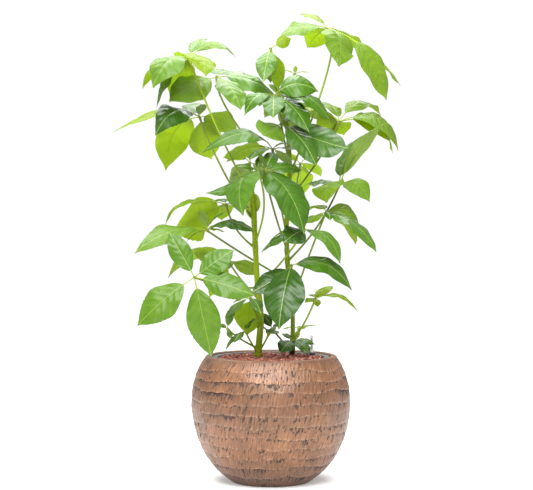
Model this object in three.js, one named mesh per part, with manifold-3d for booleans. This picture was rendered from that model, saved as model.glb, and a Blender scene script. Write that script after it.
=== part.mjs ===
import * as THREE from 'three';
import { mergeVertices } from 'three/addons/utils/BufferGeometryUtils.js';
import Module from 'manifold-3d';

// A potted umbrella plant: two stems with compound leaves in a bellied pot of clay granules.
// Millimetres, +Z up, origin at the middle of the pot's flat foot, the photographed side at -Y.

const wasm = await Module();
wasm.setup();

// Driving dimensions
const gap = 0.3;
const pot = { height: 252, floor: 14, floorRadius: 81, tierStep: 2.2 };
const potSides = 26;
const liner = {
  top: 248.4, flangeRadius: 117.3, flangeThickness: 2.2, bodyRadius: 109.5, footRadius: 79, wall: 2,
};
const linerSides = 24;
const clay = { top: 248, relief: 2.4, rings: 6, rimGap: 1, waves: [[0.37, 0.21], [-0.33, 0.29]] };
const stemSides = 9;
const stemFit = 0.4;
const petiole = { rootRadius: 3.4, radius: 2, hubRadius: 3.6, hubLength: 6, sides: 5, sag: 0.07 };
const blade = {
  thickness: 0.9, stalkHalfWidth: 1.3, stalk: 0.14, width: 0.46, arch: 0.14, peak: 0.5, droop: 0.16,
  tooth: 0.05, wave: 0.07, waves: 9,
};
const bladeLengths = { tiny: 50, small: 76, large: 110 };
const bladeTurns = [false, true, false, false, true, false];
const gauge = {
  x: 83, y: 47, sides: 12, bottom: 190, tubeTop: 291, tubeCap: 3, tubeRadius: 3.1, tubeBore: 2.1,
  floatRadius: 1.1, floatTop: 281,
};
const gaugeFoot = { radius: 6.6, ringHeight: 3.5, shoulder: 8, height: 11, topRadius: 4.6 };

// Centre lines of the two stems from their buried ends up, and the radius at each point.
const stems = {
  left: {
    line: [
      [-22, 12, 160], [-26, 11, 248], [-21, 10, 320], [-28, 8, 407], [-32, 6, 484], [-36, 4, 560],
      [-38, 3, 584],
    ],
    radii: [6, 6.8, 6.8, 5.8, 5.5, 5.3, 4.4],
  },
  right: {
    line: [
      [41, 50, 160], [43, 50, 250], [44, 48, 330], [34, 42, 428], [32, 38, 514], [37, 30, 641],
      [24, 20, 742], [14, 14, 766],
    ],
    radii: [5, 5.6, 4.6, 5.2, 5.1, 4.8, 4.2, 3.4],
  },
};

// Compound leaves. Each petiole leaves its stem at the given height and ends in a hub; the whorl's
// upper side looks along face. Each leaflet runs from the hub by the offset in to, with its own
// width, stalk and arch as shares of its length, the peak of its arch as a share of the way, and its
// own upper side along top, where they differ.
const leaves = {
  left_stem_leaf_01: {
    stem: 'left', height: 264, hub: [-86, -28, 305], face: [-0.2, -0.4, 0.9],
    blades: [
      { to: [14, 4, 48], width: 0.44, top: [-0.6, -0.8, 0.2] },
      { to: [8, -18, -18] },
      { to: [-20, 12, 10] },
    ],
  },
  left_stem_leaf_02: {
    stem: 'left', height: 255, hub: [-51, -26, 302], face: [-0.2, -0.4, 0.9],
    blades: [
      { to: [-22, -26, -22], width: 0.5 },
      { to: [-40, -8, -40], width: 0.22 },
      { to: [22, -18, 26], width: 0.4 },
      { to: [10, 20, 14] },
    ],
  },
  left_stem_leaf_03: {
    stem: 'left', height: 256, hub: [-4, -14, 296], face: [0.1, -0.5, 0.8],
    blades: [
      { to: [20, -24, 2], width: 0.6 },
      { to: [-14, -22, 14], width: 0.6 },
      { to: [14, 16, 12] },
    ],
  },
  left_stem_leaf_04: {
    stem: 'left', height: 318, hub: [-41, -40, 368], face: [-0.1, -0.2, 1],
    blades: [
      { to: [-6, 46, -77], width: 0.66, top: [0, 1, 0.4] },
      { to: [-35, -18, -10], width: 0.3 },
      { to: [22, -54, -28], width: 0.4 },
      { to: [22, 16, 12] },
      { to: [-46, -40, -42], width: 0.3 },
    ],
  },
  left_stem_leaf_05: {
    stem: 'left', height: 362, hub: [-86, 62, 436], face: [-0.1, 0.5, 0.8],
    blades: [
      { to: [-74, -8, 20], width: 0.5, top: [0, 0.9, 0.4] },
      { to: [-125, 6, -34], width: 0.4, arch: 0.34, peak: 0.62, top: [-0.3, 0.5, 0.8] },
      { to: [62, 10, -27], width: 0.56, arch: 0.16, top: [0.3, 0.8, 0.5] },
      { to: [-42, 42, -75], width: 0.4, top: [0, 1, 0.4] },
      { to: [-10, 76, -22] },
    ],
  },
  left_stem_leaf_06: {
    stem: 'left', height: 386, hub: [-147, -120, 412], face: [-0.1, -0.9, 0.42],
    blades: [
      { to: [-50, 8, 88], width: 0.42, arch: 0.05 },
      { to: [76, 2, 53], width: 0.54, arch: 0.06 },
      { to: [116, -20, -34], width: 0.43, arch: 0.1 },
      { to: [-109, -14, -92], width: 0.47, stalk: 0.18, arch: 0.1 },
      { to: [33, -10, -152], width: 0.42, arch: 0.04 },
    ],
  },
  left_stem_leaf_07: {
    stem: 'left', height: 392, hub: [66, -72, 503], face: [0, -0.3, 0.95], bend: [0, 0, -20],
    blades: [
      { to: [-41, -50, -24], width: 0.7, top: [0.1, -0.85, 0.5] },
      { to: [68, -34, -66], width: 0.46, stalk: 0.03, arch: 0.25 },
      { to: [-86, -14, -44], width: 0.3, arch: 0.1 },
      { to: [-68, 42, -22], width: 0.3 },
      { to: [30, 48, -2], arch: 0.02 },
    ],
  },
  left_stem_leaf_08: {
    stem: 'left', height: 466, hub: [-89, -12, 553], face: [-0.1, -0.1, 1], bend: [-18, 0, -12],
    blades: [
      { to: [-122, 6, -41], width: 0.55, arch: 0.256, peak: 0.72, top: [-0.1, -0.05, 0.95] },
      { to: [-110, 96, -50], width: 0.6, arch: 0.02, top: [-0.4, -0.8, 0.4] },
      { to: [-12, 84, -32], width: 0.52 },
      { to: [-20, 60, 6], width: 0.4 },
      { to: [46, -34, -8] },
    ],
  },
  left_stem_leaf_09: {
    stem: 'left', height: 478, hub: [-26, -60, 618], face: [-0.1, -0.5, 0.85], bend: [30, 0, 4],
    blades: [
      { to: [-27, -82, -88], width: 0.68, stalk: 0.03, arch: 0.26, peak: 0.55, top: [-0.65, -0.7, 0.35] },
      { to: [-102, -14, -43], width: 0.36, arch: -0.1 },
      { to: [-40, -16, 8], width: 0.5 },
      { to: [8, 14, 34] },
      { to: [10, 46, -16] },
    ],
  },
  left_stem_leaf_10: {
    stem: 'left', height: 520, hub: [-144, 30, 729], face: [-0.1, -0.1, 1],
    blades: [
      { to: [-84, -76, -42], width: 0.6, arch: 0.32, peak: 0.65, top: [-0.4, -0.85, 0.5] },
      { to: [-178, 18, -30], width: 0.26, arch: 0.15, peak: 0.3, top: [-0.1, -0.3, 0.95] },
      { to: [-72, 48, -106], width: 0.66, arch: 0.35, top: [-0.6, 0.8, 0.2] },
      { to: [21, 70, -82], width: 0.64, arch: 0.1, top: [-0.3, 1, 0.3] },
      { to: [76, 60, -32], width: 0.56, arch: 0.2, top: [0, 0.7, 0.7] },
      { to: [10, -40, 24], width: 0.45 },
      { to: [-30, 80, 30], width: 0.5 },
    ],
  },
  left_stem_leaf_11: {
    stem: 'left', height: 566, hub: [-161, -52, 839], face: [-0.1, -0.2, 1], bend: [-6, -26, -18],
    blades: [
      { to: [-66, -62, -64], width: 0.66, arch: 0.26, top: [-0.3, -0.7, 0.6] },
      { to: [-94, 32, -57], width: 0.74, arch: 0.24 },
      { to: [-64, 4, -96], width: 0.62 },
      { to: [32, 80, 47], width: 0.32 },
      { to: [91, 40, 6], width: 0.42, arch: 0.32, top: [0, -0.5, 0.9] },
      { to: [38, -96, -44], width: 0.56, arch: 0.2, top: [0.4, -0.6, 0.7] },
      { to: [-26, 80, 4], width: 0.5, top: [0, 0.6, 0.7] },
      { to: [-42, 66, -72], width: 0.56, arch: 0.3, top: [0, 1, 0.4] },
    ],
  },
  left_stem_leaf_12: {
    stem: 'left', height: 508, hub: [-44, 120, 640], face: [-0.1, 0.2, 1],
    blades: [
      { to: [-40, 40, -30], width: 0.56 },
      { to: [-30, 86, -60] },
      { to: [56, 60, -40] },
      { to: [10, -44, 44], width: 0.6 },
      { to: [-56, -10, 10], width: 0.66, arch: 0.34, top: [0, 0.6, 0.8] },
    ],
  },
  right_stem_leaf_01: {
    stem: 'right', height: 264, hub: [45, 28, 278], face: [0.1, -0.5, 0.85],
    blades: [
      { to: [-27, -34, -22], width: 0.75, arch: 0.16 },
      { to: [32, -32, -24], width: 0.6, arch: 0.16 },
      { to: [44, 2, -8] },
      { to: [-24, 6, 14] },
    ],
  },
  right_stem_leaf_02: {
    stem: 'right', height: 258, hub: [3, 24, 302], face: [0, -0.3, 0.95],
    blades: [
      { to: [-12, -20, -8], width: 0.6 },
      { to: [16, -18, 12], width: 0.6 },
      { to: [-20, 10, 32], width: 0.5, top: [0, -1, 0.4] },
      { to: [14, 22, 8] },
    ],
  },
  right_stem_leaf_03: {
    stem: 'right', height: 262, hub: [58, 92, 297], face: [0.1, 0, 1],
    blades: [
      { to: [38, 8, 5], width: 0.4 },
      { to: [-34, 16, -2], width: 0.5 },
      { to: [-6, -10, -22] },
      { to: [8, 42, -4] },
    ],
  },
  right_stem_leaf_04: {
    stem: 'right', height: 274, hub: [90, 20, 364], face: [0.1, -0.2, 1],
    blades: [
      { to: [37, 26, 23], width: 0.6, stalk: 0.02 },
      { to: [86, -4, -28], width: 0.36, arch: 0.24 },
      { to: [-22, -16, -8], width: 0.7 },
      { to: [3, -22, -16], width: 0.6 },
      { to: [-12, 34, 4] },
    ],
  },
  right_stem_leaf_05: {
    stem: 'right', height: 352, hub: [110, -22, 539], face: [0.1, -0.3, 0.95], bend: [0, 0, 8],
    blades: [
      { to: [96, -46, -80], width: 0.38, stalk: 0.03, arch: 0.14, peak: 0.6 },
      { to: [66, 44, -28], width: 0.5, stalk: 0.03, arch: 0.3, top: [0.1, -0.7, 0.7] },
      { to: [62, 66, -67], width: 0.6, stalk: 0.02, arch: 0.16 },
      { to: [-50, -28, -24], width: 0.42, arch: 0 },
      { to: [-32, 50, 8], width: 0.7 },
      { to: [6, -38, -18] },
    ],
  },
  right_stem_leaf_06: {
    stem: 'right', height: 380, hub: [40, -62, 433], face: [0, -0.5, 0.85],
    blades: [
      { to: [-25, -66, -121], width: 0.58, stalk: 0.05, arch: 0.12, top: [-0.2, -0.9, 0.4] },
      { to: [118, -24, -48], width: 0.43, stalk: 0.06, arch: 0.27 },
      { to: [-78, -4, -52], width: 0.5, arch: -0.08, top: [0, -0.8, 0.5] },
      { to: [-50, 40, -81], width: 0.5, top: [0, -0.9, 0.4] },
    ],
  },
  right_stem_leaf_07: {
    stem: 'right', height: 398, hub: [-128, -30, 502], face: [-0.1, -0.2, 0.95], bend: [0, 16, -6],
    blades: [
      { to: [-137, -70, -45], width: 0.36, arch: 0.16, top: [-0.1, -0.6, 0.8] },
      { to: [34, 18, 8], width: 0.4 },
      { to: [-12, -34, 40], width: 0.4 },
      { to: [38, -12, 36], width: 0.4 },
      { to: [96, -38, -4], width: 0.56, arch: 0.2 },
      { to: [36, 8, -4], width: 0.6 },
      { to: [-40, 12, -24], width: 0.2 },
    ],
  },
  right_stem_leaf_08: {
    stem: 'right', height: 438, hub: [137, 0, 592], face: [0.3, -0.3, 0.9], bend: [17, 0, -11],
    blades: [
      { to: [47, 54, 101], width: 0.54, arch: 0.12, top: [-0.8, -0.6, 0] },
      { to: [88, -48, 122], width: 0.24, arch: 0.12, top: [-0.5, 0.7, 0.4] },
      { to: [-28, -64, -37], width: 0.9, arch: 0.3, top: [-0.6, -0.7, 0.5] },
      { to: [-72, 26, -2], width: 0.7 },
      { to: [57, -50, -35], width: 0.66, arch: 0.3, top: [0.3, -0.7, 0.6] },
    ],
  },
  right_stem_leaf_09: {
    stem: 'right', height: 462, hub: [-13, -78, 616], face: [0.2, -0.6, 0.8],
    blades: [
      { to: [76, -54, -120], width: 0.6, stalk: 0.02, arch: 0.18, peak: 0.45, top: [0.5, -0.7, 0.5] },
      { to: [74, 30, 4], width: 0.5 },
      { to: [20, 48, 40] },
      { to: [-20, -60, 40], width: 0.4 },
    ],
  },
  right_stem_leaf_10: {
    stem: 'right', height: 492, hub: [3, -30, 662], face: [-0.1, -0.1, 1],
    blades: [
      { to: [-138, -58, -10], width: 0.44, arch: 0.26, peak: 0.36, top: [-0.1, -0.5, 0.85] },
      { to: [44, -40, 8], width: 0.4 },
      { to: [-92, 30, -24], width: 0.55, arch: 0.2, top: [-0.2, 0.45, 0.85] },
      { to: [90, 0, -20] },
      { to: [-46, -50, -24], width: 0.5 },
      { to: [36, 40, -34] },
    ],
  },
  right_stem_leaf_11: {
    stem: 'right', height: 562, hub: [137, 10, 719], face: [0.2, -0.1, 1],
    blades: [
      { to: [119, 6, -59], width: 0.54, arch: 0.33, top: [0.6, -0.4, 0.7] },
      { to: [112, 68, -60], width: 0.66, arch: 0.28, top: [0.3, -0.5, 0.8] },
      { to: [88, 72, 18], width: 0.5, arch: 0.3 },
      { to: [-78, 68, 32], width: 0.4, arch: 0.1 },
      { to: [-46, 52, -6], width: 0.8, top: [0, 1, 0.4] },
      { to: [-30, 60, 44], width: 0.5 },
      { to: [12, 56, -24], width: 0.7, top: [0, 1, 0.3] },
    ],
  },
  right_stem_leaf_12: {
    stem: 'right', height: 582, hub: [-109, 8, 808], face: [0, -0.5, 0.85], bend: [-80, -8, 60],
    blades: [
      { to: [-91, -66, -54], width: 0.6, arch: 0.08, top: [-0.1, -0.85, 0.55] },
      { to: [50, -72, -71], width: 0.58, top: [0.4, -0.7, 0.6] },
      { to: [118, 40, -34], width: 0.56, top: [0.1, -0.6, 0.8] },
      { to: [-6, 70, 18] },
      { to: [36, 82, 10] },
    ],
  },
  right_stem_leaf_13: {
    stem: 'right', height: 612, hub: [111, 0, 905], face: [0.1, -0.1, 1], bend: [80, -16, 131],
    blades: [
      { to: [-96, -30, -22], width: 0.5, arch: 0.14, top: [0, -0.5, 0.85] },
      { to: [-53, 42, 33], width: 0.5 },
      { to: [-37, 72, -32], width: 0.6, top: [0, 1, 0.6] },
      { to: [20, -84, -86], width: 0.66, arch: 0.2, top: [0.6, -0.7, 0.45] },
      { to: [118, -22, -146], width: 0.37, stalk: 0.34, arch: 0.2, top: [0.5, -0.7, 0.5] },
      { to: [152, 44, -112], width: 0.34, stalk: 0.4, arch: 0.09, top: [0.4, -0.3, 0.8] },
      { to: [80, 66, -50], width: 0.5 },
    ],
  },
  right_stem_leaf_14: {
    stem: 'right', height: 640, hub: [20, -42, 712], face: [0.1, -0.5, 0.85],
    blades: [
      { to: [68, -52, -86], width: 0.46, top: [0.4, -0.8, 0.4] },
      { to: [130, -32, -50], width: 0.6, arch: -0.04, top: [0.1, -0.8, 0.6] },
      { to: [-36, -58, -26], width: 0.9, arch: 0.02, top: [0, -1, 0.4] },
      { to: [50, 62, 10] },
    ],
  },
  right_stem_leaf_15: {
    stem: 'right', height: 700, hub: [6, -22, 768], face: [0, -0.4, 0.92],
    blades: [
      { to: [88, -8, 8], width: 0.7, arch: 0.34, top: [0, -0.8, 0.6] },
      { to: [110, -28, -52], width: 0.44, arch: 0.24 },
      { to: [-58, -42, -42], width: 0.5, arch: 0.28 },
      { to: [-2, -82, -50], width: 0.46 },
      { to: [68, -68, -76], width: 0.48 },
      { to: [74, 34, -18] },
      { to: [-30, 70, -16] },
    ],
  },
  right_stem_leaf_16: {
    stem: 'right', height: 736, hub: [-1, 22, 866], face: [0, -0.3, 0.95],
    blades: [
      { to: [-14, -54, -72], width: 0.46, top: [-0.1, -0.9, 0.4] },
      { to: [14, -6, -84], width: 0.5, top: [0.5, -0.6, 0.3] },
      { to: [41, -4, 20], width: 0.62, stalk: 0.3, arch: 0.12, top: [0.2, -0.9, 0.4] },
      { to: [0, 30, -66], width: 0.5 },
    ],
  },
  right_stem_leaf_17: {
    stem: 'right', height: 760, hub: [48, 30, 816], face: [0, -0.1, 1],
    blades: [
      { to: [-28, 8, 8], width: 0.5 },
      { to: [28, -4, 3], width: 0.45 },
      { to: [2, 6, 18], width: 0.45, top: [0, -1, 0] },
    ],
  },
  right_stem_leaf_18: {
    stem: 'right', height: 520, hub: [62, 168, 640], face: [0.1, 0.3, 0.9],
    blades: [
      { to: [46, 60, -25] },
      { to: [0, 96, -70] },
      { to: [-66, 66, -50] },
      { to: [60, -30, 30] },
      { to: [-50, -40, 20] },
    ],
  },
  right_stem_leaf_19: {
    stem: 'right', height: 660, hub: [30, 150, 770], face: [0, 0.3, 0.9],
    blades: [
      { to: [80, 40, -40] },
      { to: [20, 90, -70] },
      { to: [-44, 60, -30] },
      { to: [-36, -10, 36] },
      { to: [44, -10, 44] },
    ],
  },
};

const vector = (list) => new THREE.Vector3(...list);

function solidFromGeometry(geometry) {
  const bare = geometry.clone();
  bare.deleteAttribute('normal');
  bare.deleteAttribute('uv');
  const merged = mergeVertices(bare, 1e-4);
  return new wasm.Manifold(new wasm.Mesh({
    numProp: 3,
    vertProperties: new Float32Array(merged.attributes.position.array),
    triVerts: new Uint32Array(merged.index.array),
  }));
}

function geometryFromSolid(solid) {
  const mesh = solid.getMesh();
  const geometry = new THREE.BufferGeometry();
  geometry.setAttribute('position', new THREE.BufferAttribute(new Float32Array(mesh.vertProperties), 3));
  geometry.setIndex(new THREE.BufferAttribute(new Uint32Array(mesh.triVerts), 1));
  geometry.computeVertexNormals();
  return geometry;
}

// A closed skin over rings of equal count, ending flat or in a tip. turned[k] splits the quads of
// side k the other way.
function loft(rings, turned = [], tip = null) {
  const count = rings[0].length;
  const points = rings.flat();
  const faces = [];
  for (let row = 0; row + 1 < rings.length; row += 1) {
    for (let side = 0; side < count; side += 1) {
      const a = row * count + side;
      const b = row * count + (side + 1) % count;
      const c = b + count;
      const d = a + count;
      faces.push(...(turned[side] ? [a, b, d, b, c, d] : [a, b, c, a, c, d]));
    }
  }
  const last = (rings.length - 1) * count;
  for (let side = 1; side + 1 < count; side += 1) {
    faces.push(0, side + 1, side);
    if (!tip) {
      faces.push(last, last + side, last + side + 1);
    }
  }
  if (tip) {
    points.push(tip);
    for (let side = 0; side < count; side += 1) {
      faces.push(last + side, last + (side + 1) % count, points.length - 1);
    }
  }
  const geometry = new THREE.BufferGeometry();
  const numbers = points.flatMap((point) => point.toArray());
  geometry.setAttribute('position', new THREE.Float32BufferAttribute(numbers, 3));
  geometry.setIndex(faces);
  return solidFromGeometry(geometry);
}

// A ring of points round a centre, across the given direction, counterclockwise seen from its tip.
function ringAround(centre, direction, radius, sides) {
  const start = Math.abs(direction.z) > 0.9 ? new THREE.Vector3(1, 0, 0) : new THREE.Vector3(0, 0, 1);
  const across = start.clone().addScaledVector(direction, -start.dot(direction)).normalize();
  const over = direction.clone().cross(across);
  return Array.from({ length: sides }, (_, side) => {
    const angle = (2 * Math.PI * side) / sides;
    return centre.clone()
      .addScaledVector(across, radius * Math.cos(angle))
      .addScaledVector(over, radius * Math.sin(angle));
  });
}

function lathe(profile, sides) {
  const points = profile.map(([radius, height]) => new THREE.Vector2(radius, height));
  return solidFromGeometry(new THREE.LatheGeometry(points, sides).rotateX(Math.PI / 2));
}

// Stems

// A stem, or with some growth the plain hole that it stands in.
function stemSolid(stem, growth) {
  const line = stem.line.map(vector);
  const rings = line.map((point, index) => {
    const from = line[Math.max(index - 1, 0)];
    const to = line[Math.min(index + 1, line.length - 1)];
    const direction = to.clone().sub(from).normalize();
    const end = index === 0 ? -growth : growth * Number(index === line.length - 1);
    const centre = point.clone().addScaledVector(direction, end);
    return ringAround(centre, direction, stem.radii[index] + growth, stemSides);
  });
  return loft(rings);
}

function stemPoint(stem, height) {
  const line = stem.line.map(vector);
  const index = line.findIndex((point) => point.z >= height);
  const share = (height - line[index - 1].z) / (line[index].z - line[index - 1].z);
  return line[index - 1].clone().lerp(line[index], share);
}

// Leaves

function quadratic(from, control, to, share) {
  const rest = 1 - share;
  return from.clone().multiplyScalar(rest * rest)
    .addScaledVector(control, 2 * share * rest)
    .addScaledVector(to, share * share);
}

function quadraticDirection(from, control, to, share) {
  return control.clone().sub(from).multiplyScalar(1 - share)
    .addScaledVector(to.clone().sub(control), share)
    .normalize();
}

// The petiole is stout at its root, thin on its way and swollen where the leaflets meet.
function petioleSolid(leaf) {
  const root = stemPoint(stems[leaf.stem], leaf.height);
  const hub = vector(leaf.hub);
  const chord = hub.clone().sub(root);
  const up = new THREE.Vector3(0, 0, 1);
  const lift = up.addScaledVector(chord, -chord.z / chord.lengthSq()).normalize();
  const sag = lift.multiplyScalar(-petiole.sag * chord.length());
  const control = root.clone().addScaledVector(chord, 0.5).add(leaf.bend ? vector(leaf.bend) : sag);
  const hubShare = 1 - petiole.hubLength / chord.length();
  const shape = [
    [0, petiole.rootRadius], [0.25, petiole.radius], [0.6, petiole.radius], [hubShare, petiole.radius],
    [1, petiole.hubRadius],
  ];
  const rings = shape.map(([share, radius]) => ringAround(
    quadratic(root, control, hub, share),
    quadraticDirection(root, control, hub, share),
    radius,
    petiole.sides,
  ));
  const end = quadraticDirection(root, control, hub, 1).multiplyScalar(petiole.radius).add(hub);
  return loft(rings, [], end);
}

// Half width of a leaflet along its blade: rounded base, widest past the middle, drawn-out tip.
function bladeOutline(share) {
  return Math.sin(Math.PI * share ** 0.95) ** 0.7 * (1 - 0.5 * share ** 7);
}

// Where a blade has its cross-sections: more of them on a longer blade.
function bladeShares(length, stalk) {
  if (length < bladeLengths.tiny) {
    return [0, 0.4, 0.8];
  }
  if (length < bladeLengths.small) {
    return [0, 0.34, 0.62, 0.86];
  }
  const inner = length > bladeLengths.large ? [0.2, 0.45, 0.7, 0.9] : [0.24, 0.56, 0.84];
  return [0, stalk, ...inner.map((share) => stalk + (1 - stalk) * share)];
}

// A leaflet: a thin arched blade on a short stalk, its sides falling away from the midrib and its
// edges waved and coarsely toothed.
function bladeSolid(leaf, leaflet) {
  const hub = vector(leaf.hub);
  const reach = vector(leaflet.to);
  const length = reach.length();
  const along = reach.clone().normalize();
  const top = vector(leaflet.top ?? leaf.face).normalize();
  const raise = top.addScaledVector(along, -top.dot(along)).normalize();
  const side = raise.clone().cross(along);
  const arch = leaflet.arch ?? blade.arch;
  const control = hub.clone().addScaledVector(reach, leaflet.peak ?? blade.peak)
    .addScaledVector(raise, 2 * arch * length);
  const tip = hub.clone().add(reach);
  const stalk = leaflet.stalk ?? blade.stalk;
  const halfWidth = 0.5 * (leaflet.width ?? blade.width) * length;
  const rings = bladeShares(length, stalk).map((share, index) => {
    const centre = quadratic(hub, control, tip, share);
    const normal = quadraticDirection(hub, control, tip, share).cross(side);
    const bladeShare = Math.max(0, (share - stalk) / (1 - stalk));
    const tooth = 1 + blade.tooth * (-1) ** index;
    const half = Math.max(blade.stalkHalfWidth, halfWidth * bladeOutline(bladeShare) * tooth);
    const wave = blade.wave * half * Math.sin(bladeShare * blade.waves);
    const fall = blade.droop * half * Number(bladeShare > 0);
    const leftEdge = centre.clone().addScaledVector(side, half).addScaledVector(normal, wave - fall);
    const rightEdge = centre.clone().addScaledVector(side, -half).addScaledVector(normal, -wave - fall);
    const upper = [leftEdge, centre, rightEdge];
    const lower = upper.map((point) => point.clone().addScaledVector(normal, -blade.thickness)).reverse();
    return [...upper, ...lower];
  });
  return loft(rings, bladeTurns, tip);
}

function leafSolid(leaf, stemCut) {
  const parts = [petioleSolid(leaf), ...leaf.blades.map((leaflet) => bladeSolid(leaf, leaflet))];
  return wasm.Manifold.union(parts).subtract(stemCut);
}

// Pot, liner and filling

// The pot's bellied outside rises in stepped tiers: radius and height of each tier's lower edge.
const potTiers = [
  [79, 0], [107, 22], [124.5, 42], [136.5, 62], [145.5, 82], [152, 103], [156.5, 124], [159.5, 146],
  [159.5, 168], [157, 190], [151.5, 211], [143.5, 231],
];

function potProfile() {
  const outer = potTiers.flatMap(([radius, height], tier) => {
    const edge = [radius, height];
    return tier === 0 ? [edge] : [[radius - pot.tierStep, height], edge];
  });
  const lip = [[134.5, 245], [130.2, 250.4], [125.4, pot.height], [120.2, 250], [119.2, 246]];
  const inside = [[130, 232], [145, 195], [148, 155], [140, 103], [115, 55], [pot.floorRadius, pot.floor]];
  return [[0, 0], ...outer, ...lip, ...inside, [0, pot.floor]];
}

const linerBottom = pot.floor + gap;
const linerFloor = linerBottom + liner.wall;

function linerProfile() {
  const under = liner.top - liner.flangeThickness;
  return [
    [0, linerBottom], [liner.footRadius, linerBottom], [liner.bodyRadius, under],
    [liner.flangeRadius, under], [liner.flangeRadius, liner.top], [liner.bodyRadius - liner.wall, liner.top],
    [liner.footRadius - liner.wall, linerFloor], [0, linerFloor],
  ];
}

// The filling of clay lumps: level with the flange, its top raised and sunk by a formula.
function clayProfile() {
  const bottomRadius = liner.footRadius - liner.wall - gap;
  const topRadius = liner.bodyRadius - liner.wall - clay.rimGap;
  const rings = Array.from({ length: clay.rings + 1 }, (_, ring) => [
    topRadius * (1 - ring / clay.rings), clay.top,
  ]);
  return [[0, linerFloor + gap], [bottomRadius, linerFloor + gap], ...rings];
}

function clayRelief(x, y) {
  const [first, second] = clay.waves;
  const swell = Math.sin(first[0] * x + first[1] * y) + Math.cos(second[0] * x + second[1] * y);
  return clay.relief * (0.5 + 0.25 * swell);
}

function clayBody() {
  const points = clayProfile().map(([radius, height]) => new THREE.Vector2(radius, height));
  const geometry = new THREE.LatheGeometry(points, linerSides).rotateX(Math.PI / 2);
  const position = geometry.attributes.position;
  for (let index = 0; index < position.count; index += 1) {
    if (position.getZ(index) > 0.5 * clay.top) {
      position.setZ(index, clay.top - clayRelief(position.getX(index), position.getY(index)));
    }
  }
  return solidFromGeometry(geometry);
}

// Water-level gauge: a clear tube closed at its top, its foot cap on the lumps, and the float's rod

function gaugePart(profile) {
  return lathe(profile, gauge.sides).translate([gauge.x, gauge.y, 0]);
}

function gaugeTube() {
  return gaugePart([
    [gauge.tubeBore, gauge.bottom], [gauge.tubeRadius, gauge.bottom], [gauge.tubeRadius, gauge.tubeTop],
    [0, gauge.tubeTop], [0, gauge.tubeTop - gauge.tubeCap], [gauge.tubeBore, gauge.tubeTop - gauge.tubeCap],
    [gauge.tubeBore, gauge.bottom],
  ]);
}

function gaugeFootCap() {
  const bottom = clay.top + gap;
  const bore = gauge.tubeRadius + gap;
  return gaugePart([
    [bore, bottom], [gaugeFoot.radius, bottom], [gaugeFoot.radius, bottom + gaugeFoot.ringHeight],
    [0.5 * (gaugeFoot.radius + gaugeFoot.topRadius), bottom + gaugeFoot.shoulder],
    [gaugeFoot.topRadius, bottom + gaugeFoot.height], [bore, bottom + gaugeFoot.height], [bore, bottom],
  ]);
}

function gaugeFloat() {
  return gaugePart([
    [0, gauge.bottom], [gauge.floatRadius, gauge.bottom], [gauge.floatRadius, gauge.floatTop],
    [0, gauge.floatTop],
  ]);
}

function gaugeHole() {
  const radius = gauge.tubeRadius + gap;
  const bottom = gauge.bottom - gap;
  return gaugePart([[0, bottom], [radius, bottom], [radius, gauge.tubeTop], [0, gauge.tubeTop]]);
}

// The plant in its pot

const materials = {
  pot: { color: 0xbe8c6e, roughness: 0.55, metalness: 0.25 },
  liner: { color: 0xa0a09b, roughness: 0.55, metalness: 0 },
  clay: { color: 0x96553f, roughness: 0.95, metalness: 0 },
  leftStem: { color: 0x86952e, roughness: 0.6, metalness: 0 },
  rightStem: { color: 0x7d8c33, roughness: 0.6, metalness: 0 },
  leaf: { color: 0x5a9632, roughness: 0.35, metalness: 0 },
  tube: { color: 0xd8e0e2, roughness: 0.1, metalness: 0, transparent: true, opacity: 0.5 },
  cap: { color: 0x9c98a2, roughness: 0.4, metalness: 0 },
  marker: { color: 0xd9a021, roughness: 0.5, metalness: 0 },
};

const group = new THREE.Group();

function add(name, solid, material) {
  const mesh = new THREE.Mesh(geometryFromSolid(solid), new THREE.MeshStandardMaterial(materials[material]));
  mesh.name = name;
  group.add(mesh);
}

const stemCuts = {
  left: stemSolid(stems.left, stemFit),
  right: stemSolid(stems.right, stemFit),
};

const clayHoles = wasm.Manifold.union([stemCuts.left, stemCuts.right, gaugeHole()]);

add('pot', lathe(potProfile(), potSides), 'pot');
add('liner', lathe(linerProfile(), linerSides), 'liner');
add('clay_granules', clayBody().subtract(clayHoles), 'clay');
add('gauge_tube', gaugeTube(), 'tube');
add('gauge_foot', gaugeFootCap(), 'cap');
add('gauge_float', gaugeFloat(), 'marker');
add('left_stem', stemSolid(stems.left, 0), 'leftStem');
add('right_stem', stemSolid(stems.right, 0), 'rightStem');

for (const [name, leaf] of Object.entries(leaves)) {
  add(name, leafSolid(leaf, stemCuts[leaf.stem]), 'leaf');
}

export default group;
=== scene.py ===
import math
import random

import bpy
import numpy as np
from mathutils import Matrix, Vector, noise


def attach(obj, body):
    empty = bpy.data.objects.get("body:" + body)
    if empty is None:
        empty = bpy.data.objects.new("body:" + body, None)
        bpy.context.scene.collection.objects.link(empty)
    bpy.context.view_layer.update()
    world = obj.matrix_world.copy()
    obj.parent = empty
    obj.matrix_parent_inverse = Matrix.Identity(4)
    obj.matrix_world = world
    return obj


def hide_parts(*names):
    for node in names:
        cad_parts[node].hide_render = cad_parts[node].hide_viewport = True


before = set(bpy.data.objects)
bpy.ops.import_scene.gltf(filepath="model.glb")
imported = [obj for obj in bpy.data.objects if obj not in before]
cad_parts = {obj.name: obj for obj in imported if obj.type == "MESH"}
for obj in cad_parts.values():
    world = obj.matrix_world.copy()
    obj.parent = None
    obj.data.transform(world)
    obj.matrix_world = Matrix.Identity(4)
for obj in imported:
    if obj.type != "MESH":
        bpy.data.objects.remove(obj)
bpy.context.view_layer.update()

# A potted umbrella plant: leafy stems in clay granules, in a liner inside a round tiered pot.
# Metres, +Z up, the photographed side at -Y. Only the stems, the leaves and their helpers use
# millimetres.

mm = 0.001

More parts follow.
